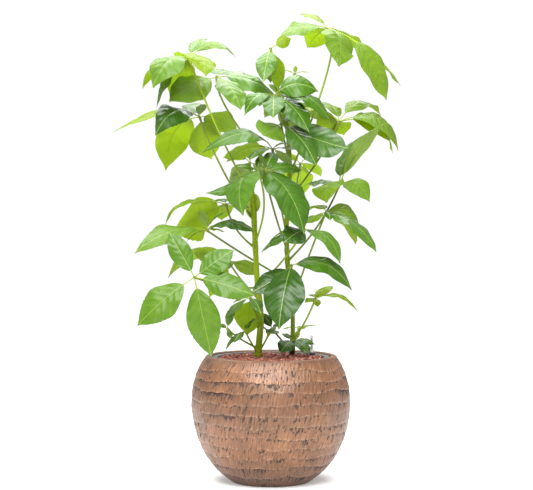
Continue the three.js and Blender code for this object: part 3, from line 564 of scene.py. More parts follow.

# Compound leaves, in millimetres. Each petiole leaves its stem at the given height and ends in a
# hub; the whorl's upper side looks along face. Each leaflet runs from the hub by the offset in to,
# with its own width, stalk and arch as shares of its length, the peak of its arch as a share of the
# way, and its own upper side along top, where they differ. Each leaflet's tone is painted light and
# shade: it runs from 0, deep green painted as in the shade, to 1, yellow-green painted as lit against
# the light, and it also sets how much light comes through; the petiole has its own such tone.
leaves = {
    "left_stem_leaf_01": {
        "stem": "left", "height": 264, "hub": (-86, -28, 305), "face": (-0.2, -0.4, 0.9), "stalkLightTone": 0.8,
        "lightTones": (0.6, 0.6, 0.7),
        "leaflets": (
            {"to": (14, 4, 48), "width": 0.44, "top": (-0.6, -0.8, 0.2)},
            {"to": (8, -18, -18)},
            {"to": (-20, 12, 10)},
        ),
    },
    "left_stem_leaf_02": {
        "stem": "left", "height": 255, "hub": (-51, -26, 302), "face": (-0.2, -0.4, 0.9), "stalkLightTone": 0.8,
        "lightTones": (0.35, 0.6, 0.3, 0.3),
        "leaflets": (
            {"to": (-22, -26, -22), "width": 0.5},
            {"to": (-40, -8, -40), "width": 0.22},
            {"to": (22, -18, 26), "width": 0.4},
            {"to": (10, 20, 14)},
        ),
    },
    "left_stem_leaf_03": {
        "stem": "left", "height": 256, "hub": (-4, -14, 296), "face": (0.1, -0.5, 0.8), "stalkLightTone": 0.8,
        "lightTones": (0.25, 0.2, 0.3),
        "leaflets": (
            {"to": (20, -24, 2), "width": 0.6},
            {"to": (-14, -22, 14), "width": 0.6},
            {"to": (14, 16, 12)},
        ),
    },
    "left_stem_leaf_04": {
        "stem": "left", "height": 318, "hub": (-41, -40, 368), "face": (-0.1, -0.2, 1),
        "lightTones": (1, 0.8, 0.3, 0.8, 0.5),
        "leaflets": (
            {"to": (-6, 46, -77), "width": 0.66, "top": (0, 1, 0.4)},
            {"to": (-35, -18, -10), "width": 0.3},
            {"to": (22, -54, -28), "width": 0.4},
            {"to": (22, 16, 12)},
            {"to": (-46, -40, -42), "width": 0.3},
        ),
    },
    "left_stem_leaf_05": {
        "stem": "left", "height": 362, "hub": (-86, 62, 436), "face": (-0.1, 0.5, 0.8),
        "lightTones": (0.85, 0.8, 0.7, 1, 0.4),
        "leaflets": (
            {"to": (-74, -8, 20), "width": 0.5, "top": (0, 0.9, 0.4)},
            {"to": (-125, 6, -34), "width": 0.4, "arch": 0.34, "peak": 0.62, "top": (-0.3, 0.5, 0.8)},
            {"to": (62, 10, -27), "width": 0.56, "arch": 0.16, "top": (0.3, 0.8, 0.5)},
            {"to": (-42, 42, -75), "width": 0.4, "top": (0, 1, 0.4)},
            {"to": (-10, 76, -22)},
        ),
    },
    "left_stem_leaf_06": {
        "stem": "left", "height": 386, "hub": (-147, -120, 412), "face": (-0.1, -0.9, 0.42),
        "lightTones": (0.5, 0.5, 0.55, 0.6, 0.6),
        "leaflets": (
            {"to": (-50, 8, 88), "width": 0.42, "arch": 0.05},
            {"to": (76, 2, 53), "width": 0.54, "arch": 0.06},
            {"to": (116, -20, -34), "width": 0.43, "arch": 0.1},
            {"to": (-109, -14, -92), "width": 0.47, "stalk": 0.18, "arch": 0.1},
            {"to": (33, -10, -152), "width": 0.42, "arch": 0.04},
        ),
    },
    "left_stem_leaf_07": {
        "stem": "left", "height": 392, "hub": (66, -72, 503), "face": (0, -0.3, 0.95),
        "bend": (0, 0, -20), "stalkLightTone": 0.8,
        "lightTones": (0.15, 0.5, 0.3, 0.8, 0.4),
        "leaflets": (
            {"to": (-41, -50, -24), "width": 0.7, "top": (0.1, -0.85, 0.5)},
            {"to": (68, -34, -66), "width": 0.46, "stalk": 0.03, "arch": 0.25},
            {"to": (-86, -14, -44), "width": 0.3, "arch": 0.1},
            {"to": (-68, 42, -22), "width": 0.3},
            {"to": (30, 48, -2), "arch": 0.02},
        ),
    },
    "left_stem_leaf_08": {
        "stem": "left", "height": 466, "hub": (-89, -12, 553), "face": (-0.1, -0.1, 1),
        "bend": (-18, 0, -12), "stalkLightTone": 0.3,
        "lightTones": (0.9, 1, 1, 0.4, 0.45),
        "leaflets": (
            {"to": (-122, 6, -41), "width": 0.55, "arch": 0.256, "peak": 0.72, "top": (-0.1, -0.05, 0.95)},
            {"to": (-110, 96, -50), "width": 0.6, "arch": 0.02, "top": (-0.4, -0.8, 0.4)},
            {"to": (-12, 84, -32), "width": 0.52},
            {"to": (-20, 60, 6), "width": 0.4},
            {"to": (46, -34, -8)},
        ),
    },
    "left_stem_leaf_09": {
        "stem": "left", "height": 478, "hub": (-26, -60, 618), "face": (-0.1, -0.5, 0.85),
        "bend": (30, 0, 4), "stalkLightTone": 0.7,
        "lightTones": (0.45, 0.35, 0.35, 0.4, 0.3),
        "leaflets": (
            {"to": (-27, -82, -88), "width": 0.68, "stalk": 0.03, "arch": 0.26, "peak": 0.55,
             "top": (-0.65, -0.7, 0.35)},
            {"to": (-102, -14, -43), "width": 0.36, "arch": -0.1},
            {"to": (-40, -16, 8), "width": 0.5},
            {"to": (8, 14, 34)},
            {"to": (10, 46, -16)},
        ),
    },
    "left_stem_leaf_10": {
        "stem": "left", "height": 520, "hub": (-144, 30, 729), "face": (-0.1, -0.1, 1), "stalkLightTone": 0.1,
        "lightTones": (0.1, 1, 1, 0.95, 0.7, 0.1, 0.4),
        "leaflets": (
            {"to": (-84, -76, -42), "width": 0.6, "arch": 0.32, "peak": 0.65, "top": (-0.4, -0.85, 0.5)},
            {"to": (-178, 18, -30), "width": 0.26, "arch": 0.15, "peak": 0.3, "top": (-0.1, -0.3, 0.95)},
            {"to": (-72, 48, -106), "width": 0.66, "arch": 0.35, "top": (-0.6, 0.8, 0.2)},
            {"to": (21, 70, -82), "width": 0.64, "arch": 0.1, "top": (-0.3, 1, 0.3)},
            {"to": (76, 60, -32), "width": 0.56, "arch": 0.2, "top": (0, 0.7, 0.7)},
            {"to": (10, -40, 24), "width": 0.45},
            {"to": (-30, 80, 30), "width": 0.5},
        ),
    },
    "left_stem_leaf_11": {
        "stem": "left", "height": 566, "hub": (-161, -52, 839), "face": (-0.1, -0.2, 1),
        "bend": (-6, -26, -18), "stalkLightTone": 0.55,
        "lightTones": (0.6, 1, 0.55, 0.6, 0.75, 0.95, 1, 1),
        "leaflets": (
            {"to": (-66, -62, -64), "width": 0.66, "arch": 0.26, "top": (-0.3, -0.7, 0.6)},
            {"to": (-94, 32, -57), "width": 0.74, "arch": 0.24},
            {"to": (-64, 4, -96), "width": 0.62},
            {"to": (32, 80, 47), "width": 0.32},
            {"to": (91, 40, 6), "width": 0.42, "arch": 0.32, "top": (0, -0.5, 0.9)},
            {"to": (38, -96, -44), "width": 0.56, "arch": 0.2, "top": (0.4, -0.6, 0.7)},
            {"to": (-26, 80, 4), "width": 0.5, "top": (0, 0.6, 0.7)},
            {"to": (-42, 66, -72), "width": 0.56, "arch": 0.3, "top": (0, 1, 0.4)},
        ),
    },
    "left_stem_leaf_12": {
        "stem": "left", "height": 508, "hub": (-44, 120, 640), "face": (-0.1, 0.2, 1),
        "lightTones": (0.6, 0.5, 0.4, 0.6, 0.8),
        "leaflets": (
            {"to": (-40, 40, -30), "width": 0.56},
            {"to": (-30, 86, -60)},
            {"to": (56, 60, -40)},
            {"to": (10, -44, 44), "width": 0.6},
            {"to": (-56, -10, 10), "width": 0.66, "arch": 0.34, "top": (0, 0.6, 0.8)},
        ),
    },
    "right_stem_leaf_01": {
        "stem": "right", "height": 264, "hub": (45, 28, 278), "face": (0.1, -0.5, 0.85),
        "lightTones": (0.1, 0.25, 0.4, 0.2),
        "leaflets": (
            {"to": (-27, -34, -22), "width": 0.75, "arch": 0.16},
            {"to": (32, -32, -24), "width": 0.6, "arch": 0.16},
            {"to": (44, 2, -8)},
            {"to": (-24, 6, 14)},
        ),
    },
    "right_stem_leaf_02": {
        "stem": "right", "height": 258, "hub": (3, 24, 302), "face": (0, -0.3, 0.95),
        "lightTones": (0.15, 0.2, 0.1, 0.3),
        "leaflets": (
            {"to": (-12, -20, -8), "width": 0.6},
            {"to": (16, -18, 12), "width": 0.6},
            {"to": (-20, 10, 32), "width": 0.5, "top": (0, -1, 0.4)},
            {"to": (14, 22, 8)},
        ),
    },
    "right_stem_leaf_03": {
        "stem": "right", "height": 262, "hub": (58, 92, 297), "face": (0.1, 0, 1), "stalkLightTone": 0.9,
        "lightTones": (1, 1, 1, 0.9),
        "leaflets": (
            {"to": (38, 8, 5), "width": 0.4},
            {"to": (-34, 16, -2), "width": 0.5},
            {"to": (-6, -10, -22)},
            {"to": (8, 42, -4)},
        ),
    },
    "right_stem_leaf_04": {
        "stem": "right", "height": 274, "hub": (90, 20, 364), "face": (0.1, -0.2, 1), "stalkLightTone": 0.9,
        "lightTones": (1, 1, 1, 1, 0.6),
        "leaflets": (
            {"to": (37, 26, 23), "width": 0.6, "stalk": 0.02},
            {"to": (86, -4, -28), "width": 0.36, "arch": 0.24},
            {"to": (-22, -16, -8), "width": 0.7},
            {"to": (3, -22, -16), "width": 0.6},
            {"to": (-12, 34, 4)},
        ),
    },
    "right_stem_leaf_05": {
        "stem": "right", "height": 352, "hub": (110, -22, 539), "face": (0.1, -0.3, 0.95),
        "bend": (0, 0, 8), "stalkLightTone": 0.4,
        "lightTones": (0.45, 0.8, 0.85, 0.8, 0.8, 0.25),
        "leaflets": (
            {"to": (96, -46, -80), "width": 0.38, "stalk": 0.03, "arch": 0.14, "peak": 0.6},
            {"to": (66, 44, -28), "width": 0.5, "stalk": 0.03, "arch": 0.3, "top": (0.1, -0.7, 0.7)},
            {"to": (62, 66, -67), "width": 0.6, "stalk": 0.02, "arch": 0.16},
            {"to": (-50, -28, -24), "width": 0.42, "arch": 0},
            {"to": (-32, 50, 8), "width": 0.7},
            {"to": (6, -38, -18)},
        ),
    },
    "right_stem_leaf_06": {
        "stem": "right", "height": 380, "hub": (40, -62, 433), "face": (0, -0.5, 0.85),
        "lightTones": (0.1, 0.3, 0.1, 0.45),
        "leaflets": (
            {"to": (-25, -66, -121), "width": 0.58, "stalk": 0.05, "arch": 0.12, "top": (-0.2, -0.9, 0.4)},
            {"to": (118, -24, -48), "width": 0.43, "stalk": 0.06, "arch": 0.27},
            {"to": (-78, -4, -52), "width": 0.5, "arch": -0.08, "top": (0, -0.8, 0.5)},
            {"to": (-50, 40, -81), "width": 0.5, "top": (0, -0.9, 0.4)},
        ),
    },
    "right_stem_leaf_07": {
        "stem": "right", "height": 398, "hub": (-128, -30, 502), "face": (-0.1, -0.2, 0.95),
        "bend": (0, 16, -6),
        "lightTones": (0.65, 1, 0.6, 0.4, 0.2, 1, 0.3),
        "leaflets": (
            {"to": (-137, -70, -45), "width": 0.36, "arch": 0.16, "top": (-0.1, -0.6, 0.8)},
            {"to": (34, 18, 8), "width": 0.4},
            {"to": (-12, -34, 40), "width": 0.4},
            {"to": (38, -12, 36), "width": 0.4},
            {"to": (96, -38, -4), "width": 0.56, "arch": 0.2},
            {"to": (36, 8, -4), "width": 0.6},
            {"to": (-40, 12, -24), "width": 0.2},
        ),
    },
    "right_stem_leaf_08": {
        "stem": "right", "height": 438, "hub": (137, 0, 592), "face": (0.3, -0.3, 0.9),
        "bend": (17, 0, -11), "stalkLightTone": 0,
        "lightTones": (0.55, 0.6, 0.8, 0.5, 0.7),
        "leaflets": (
            {"to": (47, 54, 101), "width": 0.54, "arch": 0.12, "top": (-0.8, -0.6, 0)},
            {"to": (88, -48, 122), "width": 0.24, "arch": 0.12, "top": (-0.5, 0.7, 0.4)},
            {"to": (-28, -64, -37), "width": 0.9, "arch": 0.3, "top": (-0.6, -0.7, 0.5)},
            {"to": (-72, 26, -2), "width": 0.7},
            {"to": (57, -50, -35), "width": 0.66, "arch": 0.3, "top": (0.3, -0.7, 0.6)},
        ),
    },
    "right_stem_leaf_09": {
        "stem": "right", "height": 462, "hub": (-13, -78, 616), "face": (0.2, -0.6, 0.8), "stalkLightTone": 0,
        "lightTones": (0.25, 0.3, 0.3, 0.3),
        "leaflets": (
            {"to": (76, -54, -120), "width": 0.6, "stalk": 0.02, "arch": 0.18, "peak": 0.45,
             "top": (0.5, -0.7, 0.5)},
            {"to": (74, 30, 4), "width": 0.5},
            {"to": (20, 48, 40)},
            {"to": (-20, -60, 40), "width": 0.4},
        ),
    },
    "right_stem_leaf_10": {
        "stem": "right", "height": 492, "hub": (3, -30, 662), "face": (-0.1, -0.1, 1),
        "lightTones": (0.35, 0.5, 0.85, 0.6, 0.45, 0.5),
        "leaflets": (
            {"to": (-138, -58, -10), "width": 0.44, "arch": 0.26, "peak": 0.36, "top": (-0.1, -0.5, 0.85)},
            {"to": (44, -40, 8), "width": 0.4},
            {"to": (-92, 30, -24), "width": 0.55, "arch": 0.2, "top": (-0.2, 0.45, 0.85)},
            {"to": (90, 0, -20)},
            {"to": (-46, -50, -24), "width": 0.5},
            {"to": (36, 40, -34)},
        ),
    },
    "right_stem_leaf_11": {
        "stem": "right", "height": 562, "hub": (137, 10, 719), "face": (0.2, -0.1, 1),
        "lightTones": (0.8, 1, 0.8, 1, 1, 0.8, 1),
        "leaflets": (
            {"to": (119, 6, -59), "width": 0.54, "arch": 0.33, "top": (0.6, -0.4, 0.7)},
            {"to": (112, 68, -60), "width": 0.66, "arch": 0.28, "top": (0.3, -0.5, 0.8)},
            {"to": (88, 72, 18), "width": 0.5, "arch": 0.3},
            {"to": (-78, 68, 32), "width": 0.4, "arch": 0.1},
            {"to": (-46, 52, -6), "width": 0.8, "top": (0, 1, 0.4)},
            {"to": (-30, 60, 44), "width": 0.5},
            {"to": (12, 56, -24), "width": 0.7, "top": (0, 1, 0.3)},
        ),
    },
    "right_stem_leaf_12": {
        "stem": "right", "height": 582, "hub": (-109, 8, 808), "face": (0, -0.5, 0.85),
        "bend": (-80, -8, 60), "stalkLightTone": 0.45,
        "lightTones": (0.75, 0.6, 0.45, 0.5, 0.5),
        "leaflets": (
            {"to": (-91, -66, -54), "width": 0.6, "arch": 0.08, "top": (-0.1, -0.85, 0.55)},
            {"to": (50, -72, -71), "width": 0.58, "top": (0.4, -0.7, 0.6)},
            {"to": (118, 40, -34), "width": 0.56, "top": (0.1, -0.6, 0.8)},
            {"to": (-6, 70, 18)},
            {"to": (36, 82, 10)},
        ),
    },
    "right_stem_leaf_13": {
        "stem": "right", "height": 612, "hub": (111, 0, 905), "face": (0.1, -0.1, 1),
        "bend": (80, -16, 131), "stalkLightTone": 0.5,
        "lightTones": (0.7, 1, 1, 0.75, 0.8, 0.9, 0.8),
        "leaflets": (
            {"to": (-96, -30, -22), "width": 0.5, "arch": 0.14, "top": (0, -0.5, 0.85)},
            {"to": (-53, 42, 33), "width": 0.5},
            {"to": (-37, 72, -32), "width": 0.6, "top": (0, 1, 0.6)},
            {"to": (20, -84, -86), "width": 0.66, "arch": 0.2, "top": (0.6, -0.7, 0.45)},
            {"to": (118, -22, -146), "width": 0.37, "stalk": 0.34, "arch": 0.2, "top": (0.5, -0.7, 0.5)},
            {"to": (152, 44, -112), "width": 0.34, "stalk": 0.4, "arch": 0.09, "top": (0.4, -0.3, 0.8)},
            {"to": (80, 66, -50), "width": 0.5},
        ),
    },
    "right_stem_leaf_14": {
        "stem": "right", "height": 640, "hub": (20, -42, 712), "face": (0.1, -0.5, 0.85),
        "lightTones": (0.2, 0.2, 0.7, 0.3),
        "leaflets": (
            {"to": (68, -52, -86), "width": 0.46, "top": (0.4, -0.8, 0.4)},
            {"to": (130, -32, -50), "width": 0.6, "arch": -0.04, "top": (0.1, -0.8, 0.6)},
            {"to": (-36, -58, -26), "width": 0.9, "arch": 0.02, "top": (0, -1, 0.4)},
            {"to": (50, 62, 10)},
        ),
    },
    "right_stem_leaf_15": {
        "stem": "right", "height": 700, "hub": (6, -22, 768), "face": (0, -0.4, 0.92),
        "lightTones": (0.35, 0.3, 0.3, 0.25, 0.2, 0.3, 0.4),
        "leaflets": (
            {"to": (88, -8, 8), "width": 0.7, "arch": 0.34, "top": (0, -0.8, 0.6)},
            {"to": (110, -28, -52), "width": 0.44, "arch": 0.24},
            {"to": (-58, -42, -42), "width": 0.5, "arch": 0.28},
            {"to": (-2, -82, -50), "width": 0.46},
            {"to": (68, -68, -76), "width": 0.48},
            {"to": (74, 34, -18)},
            {"to": (-30, 70, -16)},
        ),
    },
    "right_stem_leaf_16": {
        "stem": "right", "height": 736, "hub": (-1, 22, 866), "face": (0, -0.3, 0.95),
        "lightTones": (0.45, 0.9, 1, 0.4),
        "leaflets": (
            {"to": (-14, -54, -72), "width": 0.46, "top": (-0.1, -0.9, 0.4)},
            {"to": (14, -6, -84), "width": 0.5, "top": (0.5, -0.6, 0.3)},
            {"to": (41, -4, 20), "width": 0.62, "stalk": 0.3, "arch": 0.12, "top": (0.2, -0.9, 0.4)},
            {"to": (0, 30, -66), "width": 0.5},
        ),
    },
    "right_stem_leaf_17": {
        "stem": "right", "height": 760, "hub": (48, 30, 816), "face": (0, -0.1, 1),
        "lightTones": (1, 1, 1),
        "leaflets": (
            {"to": (-28, 8, 8), "width": 0.5},
            {"to": (28, -4, 3), "width": 0.45},
            {"to": (2, 6, 18), "width": 0.45, "top": (0, -1, 0)},
        ),
    },
    "right_stem_leaf_18": {
        "stem": "right", "height": 520, "hub": (62, 168, 640), "face": (0.1, 0.3, 0.9),
        "lightTones": (0.95, 0.95, 0.95, 0.95, 0.95),
        "leaflets": (
            {"to": (46, 60, -25)},
            {"to": (0, 96, -70)},
            {"to": (-66, 66, -50)},
            {"to": (60, -30, 30)},
            {"to": (-50, -40, 20)},
        ),
    },
    "right_stem_leaf_19": {
        "stem": "right", "height": 660, "hub": (30, 150, 770), "face": (0, 0.3, 0.9),
        "lightTones": (0.5, 0.4, 0.5, 0.5, 0.5),
        "leaflets": (
            {"to": (80, 40, -40)},
            {"to": (20, 90, -70)},
            {"to": (-44, 60, -30)},
            {"to": (-36, -10, 36)},
            {"to": (44, -10, 44)},
        ),
    },
}

leafShape = {
    "thickness": 0.55, "stalk": 0.14, "width": 0.46, "arch": 0.14, "droop": 0.16, "wave": 0.07, "waves": 9,
    "ripple": 0.05, "quilt": 0.02, "fold": 0.04, "veins": 7, "veinSweep": 1.5, "baseHalf": 0.9,
    "billow": 0.1, "grid": (14, 48), "smallGrid": (8, 24), "smallBelow": 56,
    # about half of the long blades have faint teeth near the tip
    "teethAbove": 110, "toothedShare": 0.5, "teeth": 15, "toothDepth": 0.13,
}
petioleShape = {
    "root": 3.4, "radius": 1.9, "hub": 3.5, "sag": 0.07, "rootFlare": 11, "hubFlare": 5,
    "around": 10, "along": 40,
}
ribShape = {
    "stalkRadius": 1.15, "baseRadius": 0.95, "tipRadius": 0.25, "reach": 0.94, "around": 6, "along": 22,
}
# the blade's two sides: colours from painted shade to painted light, picked by the tone, the veins'
# colour and strength, the roughness of the gloss, and how much light comes through in which colour
leafLooks = {
    "leafUpperSide": {
        "colours": (
            (0.0, (26, 60, 2)), (0.3, (52, 90, 8)), (0.55, (78, 116, 28)), (0.78, (104, 136, 42)),
            (1.0, (134, 154, 24)),
        ),
        "ribColour": (152, 172, 88), "gloss": 0.24, "through": 0.25, "throughColour": (186, 206, 12),
        "sideStrength": 0.1,
    },
    "leafUnderside": {
        "colours": (
            (0.0, (78, 106, 38)), (0.35, (100, 130, 50)), (0.65, (122, 148, 58)), (1.0, (142, 166, 44)),
        ),
        "ribColour": (154, 178, 92), "gloss": 0.45, "through": 0.25, "throughColour": (186, 206, 36),
        "sideStrength": 0.22,
    },
}
stalkLook = {
    "fromRootToHub": ((0.0, (92, 114, 12)), (0.35, (84, 102, 14)), (0.8, (76, 82, 18)), (1.0, (72, 62, 26))),
    "fibres": ((0.3, (78, 96, 10)), (0.7, (116, 134, 36))),
    "light": (140, 164, 28),
}


def stemPlace(stem, height):
    line = np.array(stem["line"], float)
    return splineThrough(line[:, 2], line, np.atleast_1d(np.asarray(height, float)))


def unit(vectors):
    return vectors / np.linalg.norm(vectors, axis=-1, keepdims=True)


def bend(start, control, end, share):
    rest = 1 - share[:, None]
    share = share[:, None]
    return start * rest ** 2 + control * 2 * share * rest + end * share ** 2


def bendDirection(start, control, end, share):
    share = share[:, None]
    return unit((control - start) * (1 - share) + (end - control) * share)


def acrossOf(direction):
    # a steady sideways direction for a tube that mostly runs up or outwards
    steady = np.array([0.31, 0.95, 0.05])
    across = steady - direction * (direction @ steady)[:, None]
    across = unit(across)
    return across, np.cross(direction, across)


def rollTube(sheet, centre, direction, radius):
    # rolls a flat sheet, shaped by its own shares, into a tube round a line
    around, _ = sheetShares(sheet)
    angle = 2 * math.pi * around
    across, over = acrossOf(direction)
    reach = np.asarray(radius)[:, None] if np.ndim(radius) else radius
    out = across * np.cos(angle)[:, None] + over * np.sin(angle)[:, None]
    writePoints(sheet, (centre + out * reach) * mm)


def closeEnds(piece):
    # an open tube gets a face over each end
    pick(piece)
    bpy.ops.object.mode_set(mode="EDIT")
    bpy.ops.mesh.select_all(action="SELECT")
    bpy.ops.mesh.remove_doubles(threshold=1e-7)
    bpy.ops.mesh.select_all(action="DESELECT")
    bpy.ops.mesh.select_non_manifold()
    bpy.ops.mesh.edge_face_add()
    bpy.ops.object.mode_set(mode="OBJECT")


# leaf finishes
def veinMasks(tree):
    # the pale midrib and the side veins, from the blade's own UV map
    uv = addNode(tree, "ShaderNodeUVMap", uv_map="UVMap").outputs[0]
    parts = addNode(tree, "ShaderNodeSeparateXYZ", {"Vector": uv}).outputs
    across = calc(tree, "ABSOLUTE", calc(tree, "MULTIPLY_ADD", parts[0], 2.0, -1.0))
    fromRib = readValue(tree, "fromRib")
    sweep = calc(tree, "MULTIPLY", calc(tree, "POWER", across, 1.25), leafShape["veinSweep"])
    phase = calc(tree, "SUBTRACT", calc(tree, "MULTIPLY", parts[1], float(leafShape["veins"])), sweep)
    offLine = calc(tree, "ABSOLUTE", calc(tree, "SUBTRACT", calc(tree, "FRACT", phase), 0.5))
    side = spread(tree, offLine, 0.03, 0.13, 1.0, 0.0)
    side = calc(tree, "MULTIPLY", side, spread(tree, across, 0.72, 1.0, 1.0, 0.15))
    rib = spread(tree, fromRib, 0.2, 0.9, 1.0, 0.0)
    valley = spread(tree, offLine, 0.0, 0.5, 0.0, 1.0)
    return rib, side, valley


def leafFinish(name, look):
    through, gloss, ribColour = look["through"], look["gloss"], look["ribColour"]
    material, tree = newFinish(name)
    lightTone = readValue(tree, "lightTone")
    rib, side, valley = veinMasks(tree)
    mottle = grain(tree, objectPlace(tree), 46, 4, 0.6)
    cells = grain(tree, objectPlace(tree), 420, 3, 0.65)
    # painted light and shade: the tone picks deep green for a leaflet in the shade and yellow-green for one
    # against the light
    shifted = calc(tree, "ADD", lightTone, calc(tree, "MULTIPLY_ADD", mottle, 0.36, -0.18))
    # painted light and shade of the quilting: the bulges between the side veins a little lighter, the veins'
    # grooves a little darker
    shifted = calc(tree, "ADD", shifted, calc(tree, "MULTIPLY_ADD", valley, 0.1, -0.05), clamp=True)
    base = colourRamp(tree, shifted, look["colours"])
    base = mixColour(tree, calc(tree, "MULTIPLY", side, look["sideStrength"]), base, ribColour)
    base = mixColour(tree, calc(tree, "MULTIPLY", rib, 0.7), base, ribColour)
    swells = grain(tree, objectPlace(tree), 40, 1)
    relief = calc(tree, "MULTIPLY_ADD", swells, 0.8, calc(tree, "MULTIPLY", valley, 0.7))
    normal = bump(tree, relief, 0.2, 0.001)
    rough = calc(tree, "MULTIPLY_ADD", cells, 0.12, spread(tree, mottle, 0.3, 0.7, gloss, gloss + 0.1))
    surface = addNode(tree, "ShaderNodeBsdfPrincipled", {
        "Base Color": base, "Roughness": rough, "Specular IOR Level": 0.34, "Normal": normal,
    })
    glowShare = spread(tree, lightTone, 0.2, 1.0, 0.35, 0.8)
    glow = addNode(tree, "ShaderNodeBsdfTranslucent", {
        "Color": mixColour(tree, glowShare, base, look["throughColour"]),
    })
    share = spread(tree, lightTone, 0.2, 1.0, through * 0.6, through * 2.6)
    both = addNode(tree, "ShaderNodeMixShader", {0: share, 1: surface.outputs[0], 2: glow.outputs[0]})
    finishWith(tree, both.outputs[0])
    return material


def stalkFinish():
    material, tree = newFinish("leafStalk")
    along = readValue(tree, "along")
    lightTone = readValue(tree, "lightTone")
    fibres = grain(tree, objectPlace(tree, (1, 1, 0.3)), 260, 3, 0.6)
    base = colourRamp(tree, along, stalkLook["fromRootToHub"])
    base = mixColour(tree, 0.5, base, colourRamp(tree, fibres, stalkLook["fibres"]))
    # painted light: the stalk is lightened towards its light colour by its tone
    base = mixColour(tree, calc(tree, "MULTIPLY", lightTone, 0.9), base, stalkLook["light"])
    shader = addNode(tree, "ShaderNodeBsdfPrincipled", {
        "Base Color": base, "Roughness": 0.48, "Specular IOR Level": 0.25,
        "Normal": bump(tree, fibres, 0.3, 0.0005),
    })
    finishWith(tree, shader.outputs[0])
    return material


leafFinishes = [leafFinish(name, look) for name, look in leafLooks.items()] + [stalkFinish()]


# leaves: arched, waved and veined blades on a whorl of stalks
def bladeOutline(share):
    body = np.sin(math.pi * np.clip(share, 0, 1) ** 0.95) ** 0.7 * (1 - 0.5 * share ** 7)
    drawnOut = 1 - 0.32 * smoothStep(0.88, 0.965, share) * (1 - smoothStep(0.97, 1.0, share) * 0.6)
    return body * drawnOut


def leafletFrame(leaf, leaflet):
    hub = np.array(leaf["hub"], float)
    reach = np.array(leaflet["to"], float)
    length = np.linalg.norm(reach)
    along = reach / length
    top = unit(np.array(leaflet.get("top", leaf["face"]), float))
    lift = unit(top - along * (top @ along))
    side = np.cross(lift, along)
    arch = leaflet.get("arch", leafShape["arch"])
    control = hub + reach * leaflet.get("peak", 0.5) + lift * 2 * arch * length
    stalk = leaflet.get("stalk", leafShape["stalk"])
    return hub, control, hub + reach, side, length, stalk


def makeBlade(base, leaf, leaflet, lightTone, dice, name):
    hub, control, tip, side, length, stalk = leafletFrame(leaf, leaflet)
    blade = copyPiece(base, name)
    around, along = sheetShares(blade)
    across = -np.sign(around - 0.5) * (2 * np.abs(around - 0.5)) ** 1.25
    share = stalk + (1 - stalk) * along
    line = bend(hub, control, tip, share)
    normal = np.cross(bendDirection(hub, control, tip, share), side)
    halfWidth = 0.5 * leaflet.get("width", leafShape["width"]) * length
    half = np.maximum(halfWidth * bladeOutline(along), leafShape["baseHalf"] * (1 - along) + 0.15)
    if length > leafShape["teethAbove"] and dice.random() < leafShape["toothedShare"]:
        bite = leafShape["toothDepth"] * np.abs((along * leafShape["teeth"] + dice.random()) % 1 - 0.5)
        half = half * (1 - bite * smoothStep(0.5, 0.62, along) * (1 - smoothStep(0.86, 0.94, along)))
    sideShare = np.abs(across)
    wave = leafShape["wave"] * half * np.sin(along * leafShape["waves"]) * across * sideShare
    phase = dice.uniform(0, 6.28)
    ripples = dice.uniform(2.2, 3.6)
    rippleTurn = 2 * math.pi * ripples * along + phase + 1.4 * np.sign(across)
    ripple = leafShape["ripple"] * half * np.sin(rippleTurn)
    fall = leafShape["droop"] * half * sideShare ** 1.6
    vein = leafShape["veins"] * along - leafShape["veinSweep"] * sideShare ** 1.25
    bulge = leafShape["quilt"] * half * np.cos(2 * math.pi * vein) * 4 * sideShare * (1 - sideShare)
    valley = leafShape["fold"] * half * np.exp(-(sideShare / 0.12) ** 2)
    spot = dice.uniform(0, 50)
    swells = sampleNoise(np.stack([across * 1.1 + spot, along * 2.9, 0 * along + spot], 1))
    billow = leafShape["billow"] * half * swells * 2 * sideShare ** 0.7
    height = wave + ripple * sideShare ** 2 - fall + bulge + billow - valley
    writePoints(blade, (line + side * (across * half)[:, None] + normal * height[:, None]) * mm)
    addValues(blade, "lightTone", np.full(len(along), lightTone))
    addValues(blade, "fromRib", sideShare * half)
    loops = np.empty(len(blade.data.loops), np.int32)
    blade.data.loops.foreach_get("vertex_index", loops)
    uv = np.stack([(1 - across) / 2, along], 1)[loops]
    blade.data.uv_layers["UVMap"].data.foreach_set("uv", uv.astype(np.float32).ravel())
    return blade


def makeRib(base, leaf, leaflet, lightTone, name):
    # the leaflet's stalk, which runs on under the blade as its rib
    hub, control, tip, side, length, stalk = leafletFrame(leaf, leaflet)
    rib = copyPiece(base, name)
    _, along = sheetShares(rib)
    share = along * ribShape["reach"]
    onBlade = np.clip((share - stalk) / (1 - stalk), 0, 1)
    size = min(1.0, 0.45 + length / 180)
    radius = np.where(onBlade > 0, ribShape["baseRadius"], ribShape["stalkRadius"]) * size
    radius = radius + (ribShape["tipRadius"] - ribShape["baseRadius"] * size) * onBlade
    direction = bendDirection(hub, control, tip, share)
    normal = np.cross(direction, side)
    sunk = (leafShape["thickness"] + 0.45 * radius) * smoothStep(0, 0.04, onBlade)
    halfWidth = 0.5 * leaflet.get("width", leafShape["width"]) * length
    fold = halfWidth * bladeOutline(onBlade) * leafShape["fold"]
    centre = bend(hub, control, tip, share) - normal * (sunk + fold)[:, None]
    rollTube(rib, centre, direction, radius)
    # the rib takes painted light from its blade's tone
    addValues(rib, "lightTone", np.full(len(along), 0.35 + 0.5 * lightTone))
    addValues(rib, "along", 1 - 0.6 * smoothStep(0, 0.5, along))
    return rib


